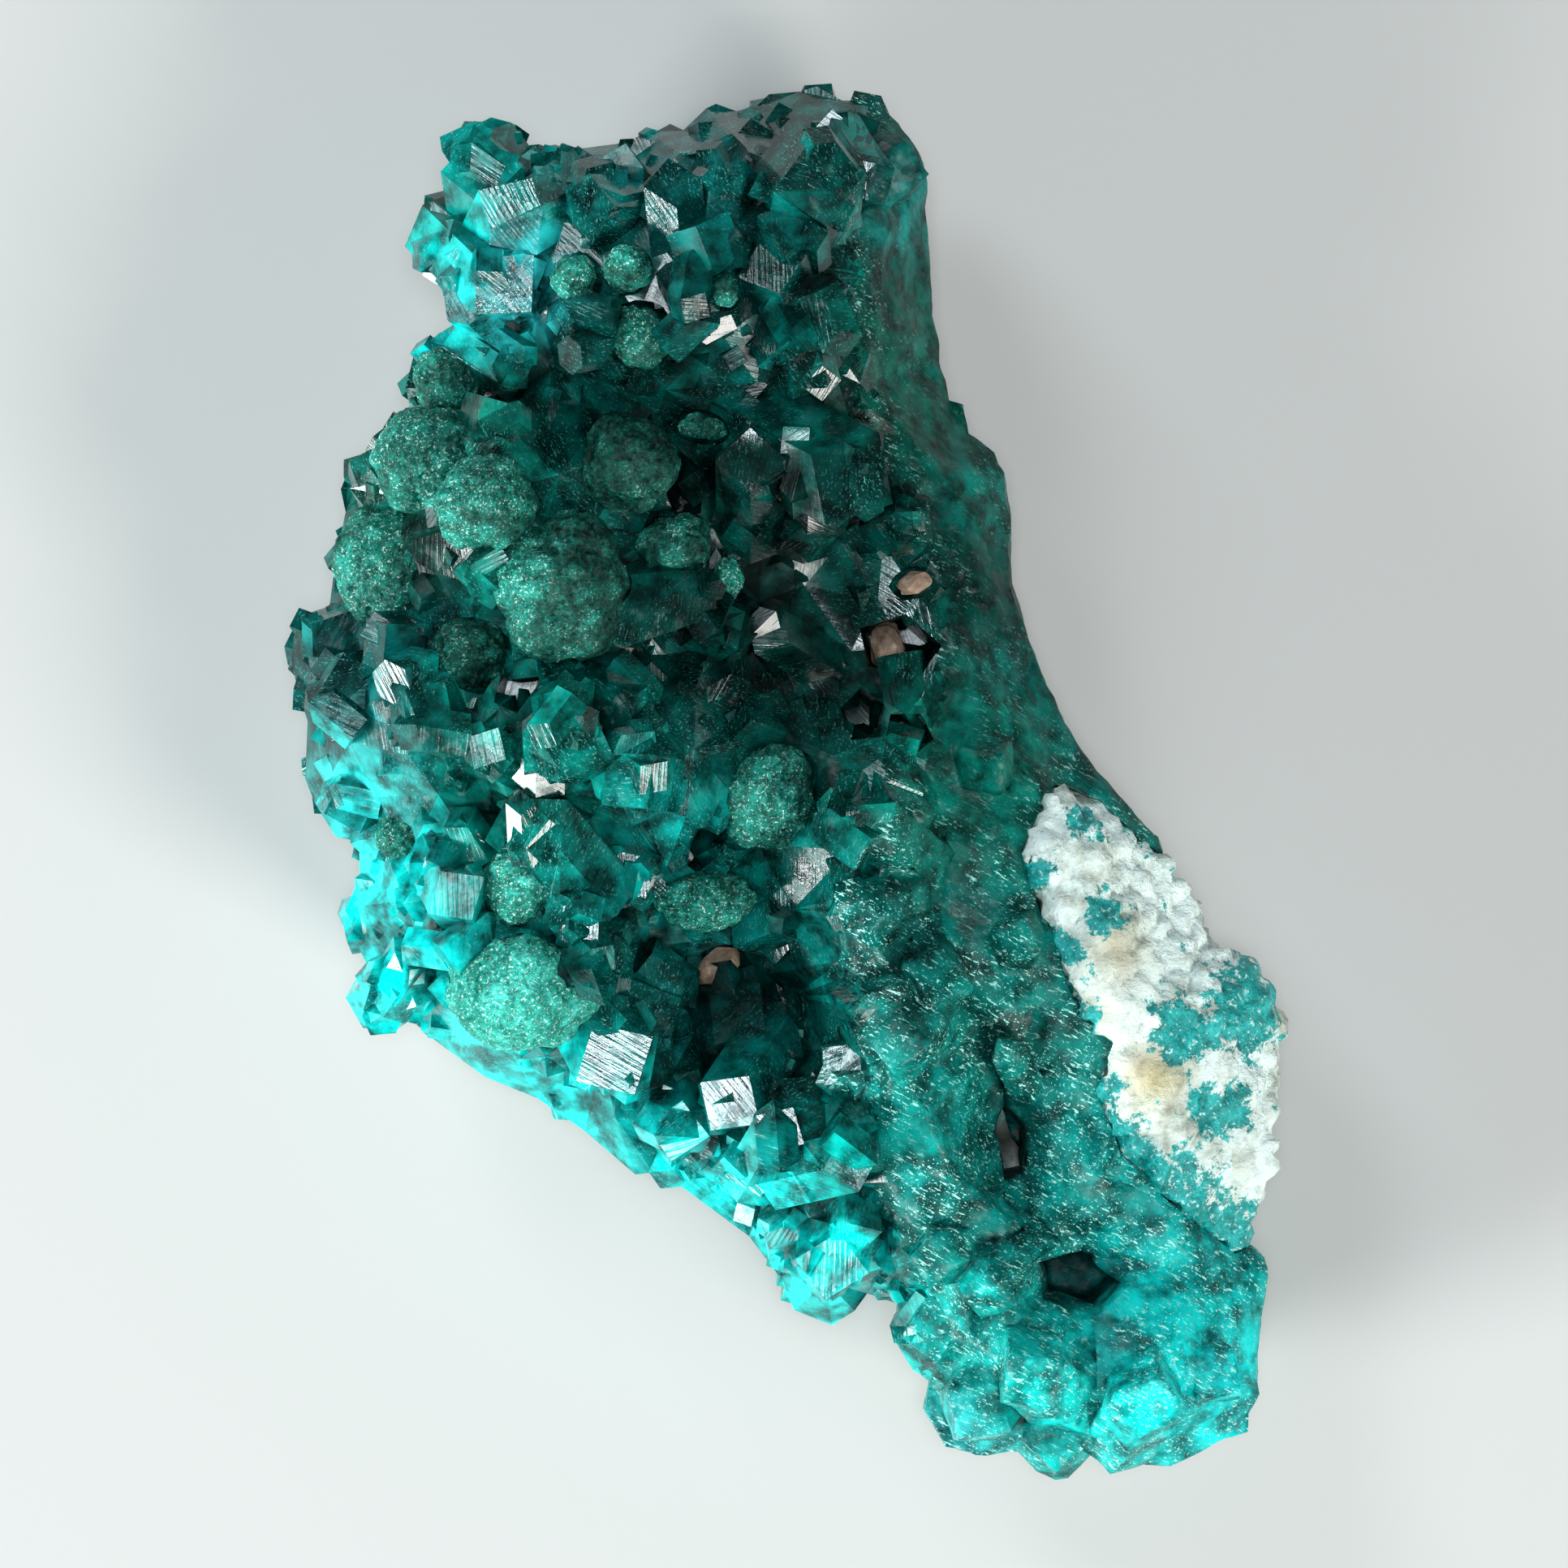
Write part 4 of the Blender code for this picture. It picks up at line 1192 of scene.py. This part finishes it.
def makeRock(material):
    stone = copyOfNode("matrix", "paleRock")
    remesh = stone.modifiers.new("remesh", "REMESH")
    remesh.mode = "VOXEL"
    remesh.voxel_size = rock["voxel"] * mm
    applyModifier(stone, remesh)
    mesh = stone.data
    normals = [vert.normal.copy() for vert in mesh.vertices]
    stainsAndShade = []
    greens = []
    foot, rise = rock["foot"]
    for vert, normal in zip(mesh.vertices, normals):
        place = vert.co / mm
        grip = min(1.0, max(0.0, (place.z - foot) / rise))
        vert.co += normal * reliefOf(place) * mm * grip
        if place.z < rock["level"]:
            vert.co.z = 0.0
        stainsAndShade.append((*stainOf(place), 1.0))
        greens.append(greenOf(place))
    stain = mesh.attributes.new("stain", "FLOAT_COLOR", "POINT")
    stain.data.foreach_set("color", np.array(stainsAndShade, dtype=float).ravel())
    green = mesh.attributes.new("green", "FLOAT", "POINT")
    green.data.foreach_set("value", greens)
    mesh.shade_smooth()
    dress(stone, [material], "matrix")
    print("rock:", len(mesh.polygons), "faces")


def finishCalcite(material):
    # the grains' own solids are the right shape, and only get the tan finish
    for name in calciteNodes:
        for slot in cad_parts[name].material_slots:
            slot.material = material
    print("calcite:", len(calciteNodes), "grains finished")


studio = {
    "camera": (0.0, 0.0, 0.2665),
    "lens": 150.0,
    "sensor": 36.0,
    "floor": 3.0,
    "floorColour": (0.50, 0.50, 0.49),
    # name: place, aim, size, power, colour
    "lights": {
        "overhead": ((0.0, 0.0, 0.60), (0.0, 0.0, 0.01), 0.11, 1.5, (0.82, 0.94, 1.0)),
        "lowerRight": ((0.36, -0.34, 0.34), (0.0, 0.0, 0.01), 0.20, 3.0, (1.0, 0.98, 0.94)),
        "lowerLeft": ((-0.40, -0.22, 0.16), (-0.005, -0.005, 0.01), 0.16, 3.6, (0.95, 1.0, 1.0)),
        "upperLeft": ((-0.30, 0.36, 0.40), (0.0, 0.0, 0.01), 0.20, 1.3, (0.90, 0.96, 1.0)),
    },
    "world": (0.62, 0.68, 0.70),
    "worldStrength": 0.10,
}


def addCamera():
    camera = bpy.data.objects.new("camera", bpy.data.cameras.new("camera"))
    camera.location = studio["camera"]
    camera.data.lens = studio["lens"]
    camera.data.sensor_width = studio["sensor"]
    camera.data.clip_start = 0.01
    bpy.context.scene.collection.objects.link(camera)
    bpy.context.scene.camera = camera


def addLights():
    for name, (place, aim, size, power, colour) in studio["lights"].items():
        lamp = bpy.data.lights.new(name, "AREA")
        lamp.shape = "SQUARE"
        lamp.size = size
        lamp.energy = power
        lamp.color = colour
        light = bpy.data.objects.new(name, lamp)
        light.location = place
        light.rotation_euler = (Vector(place) - Vector(aim)).to_track_quat("Z", "Y").to_euler()
        bpy.context.scene.collection.objects.link(light)
    world = bpy.data.worlds.new("studio")
    world.use_nodes = True
    background = world.node_tree.nodes["Background"]
    background.inputs["Color"].default_value = (*studio["world"], 1.0)
    background.inputs["Strength"].default_value = studio["worldStrength"]
    bpy.context.scene.world = world
    bpy.context.scene.view_settings.view_transform = "Standard"


def addFloor():
    deselectAll()
    bpy.ops.mesh.primitive_plane_add(size=studio["floor"], location=(0.0, 0.0, 0.0))
    floor = bpy.context.active_object
    floor.name = "floor"
    floor.data.materials.append(floorMaterial())


addCamera()
addLights()
addFloor()
print("studio set")
makeDioptase(
    crystalMaterial("dioptaseCrystal", crystalLook),
    crystalMaterial("dioptaseMassive", massiveLook),
)
makeMalachite(velvetMaterial())
makeRock(rockMaterial())
finishCalcite(tanMaterial())
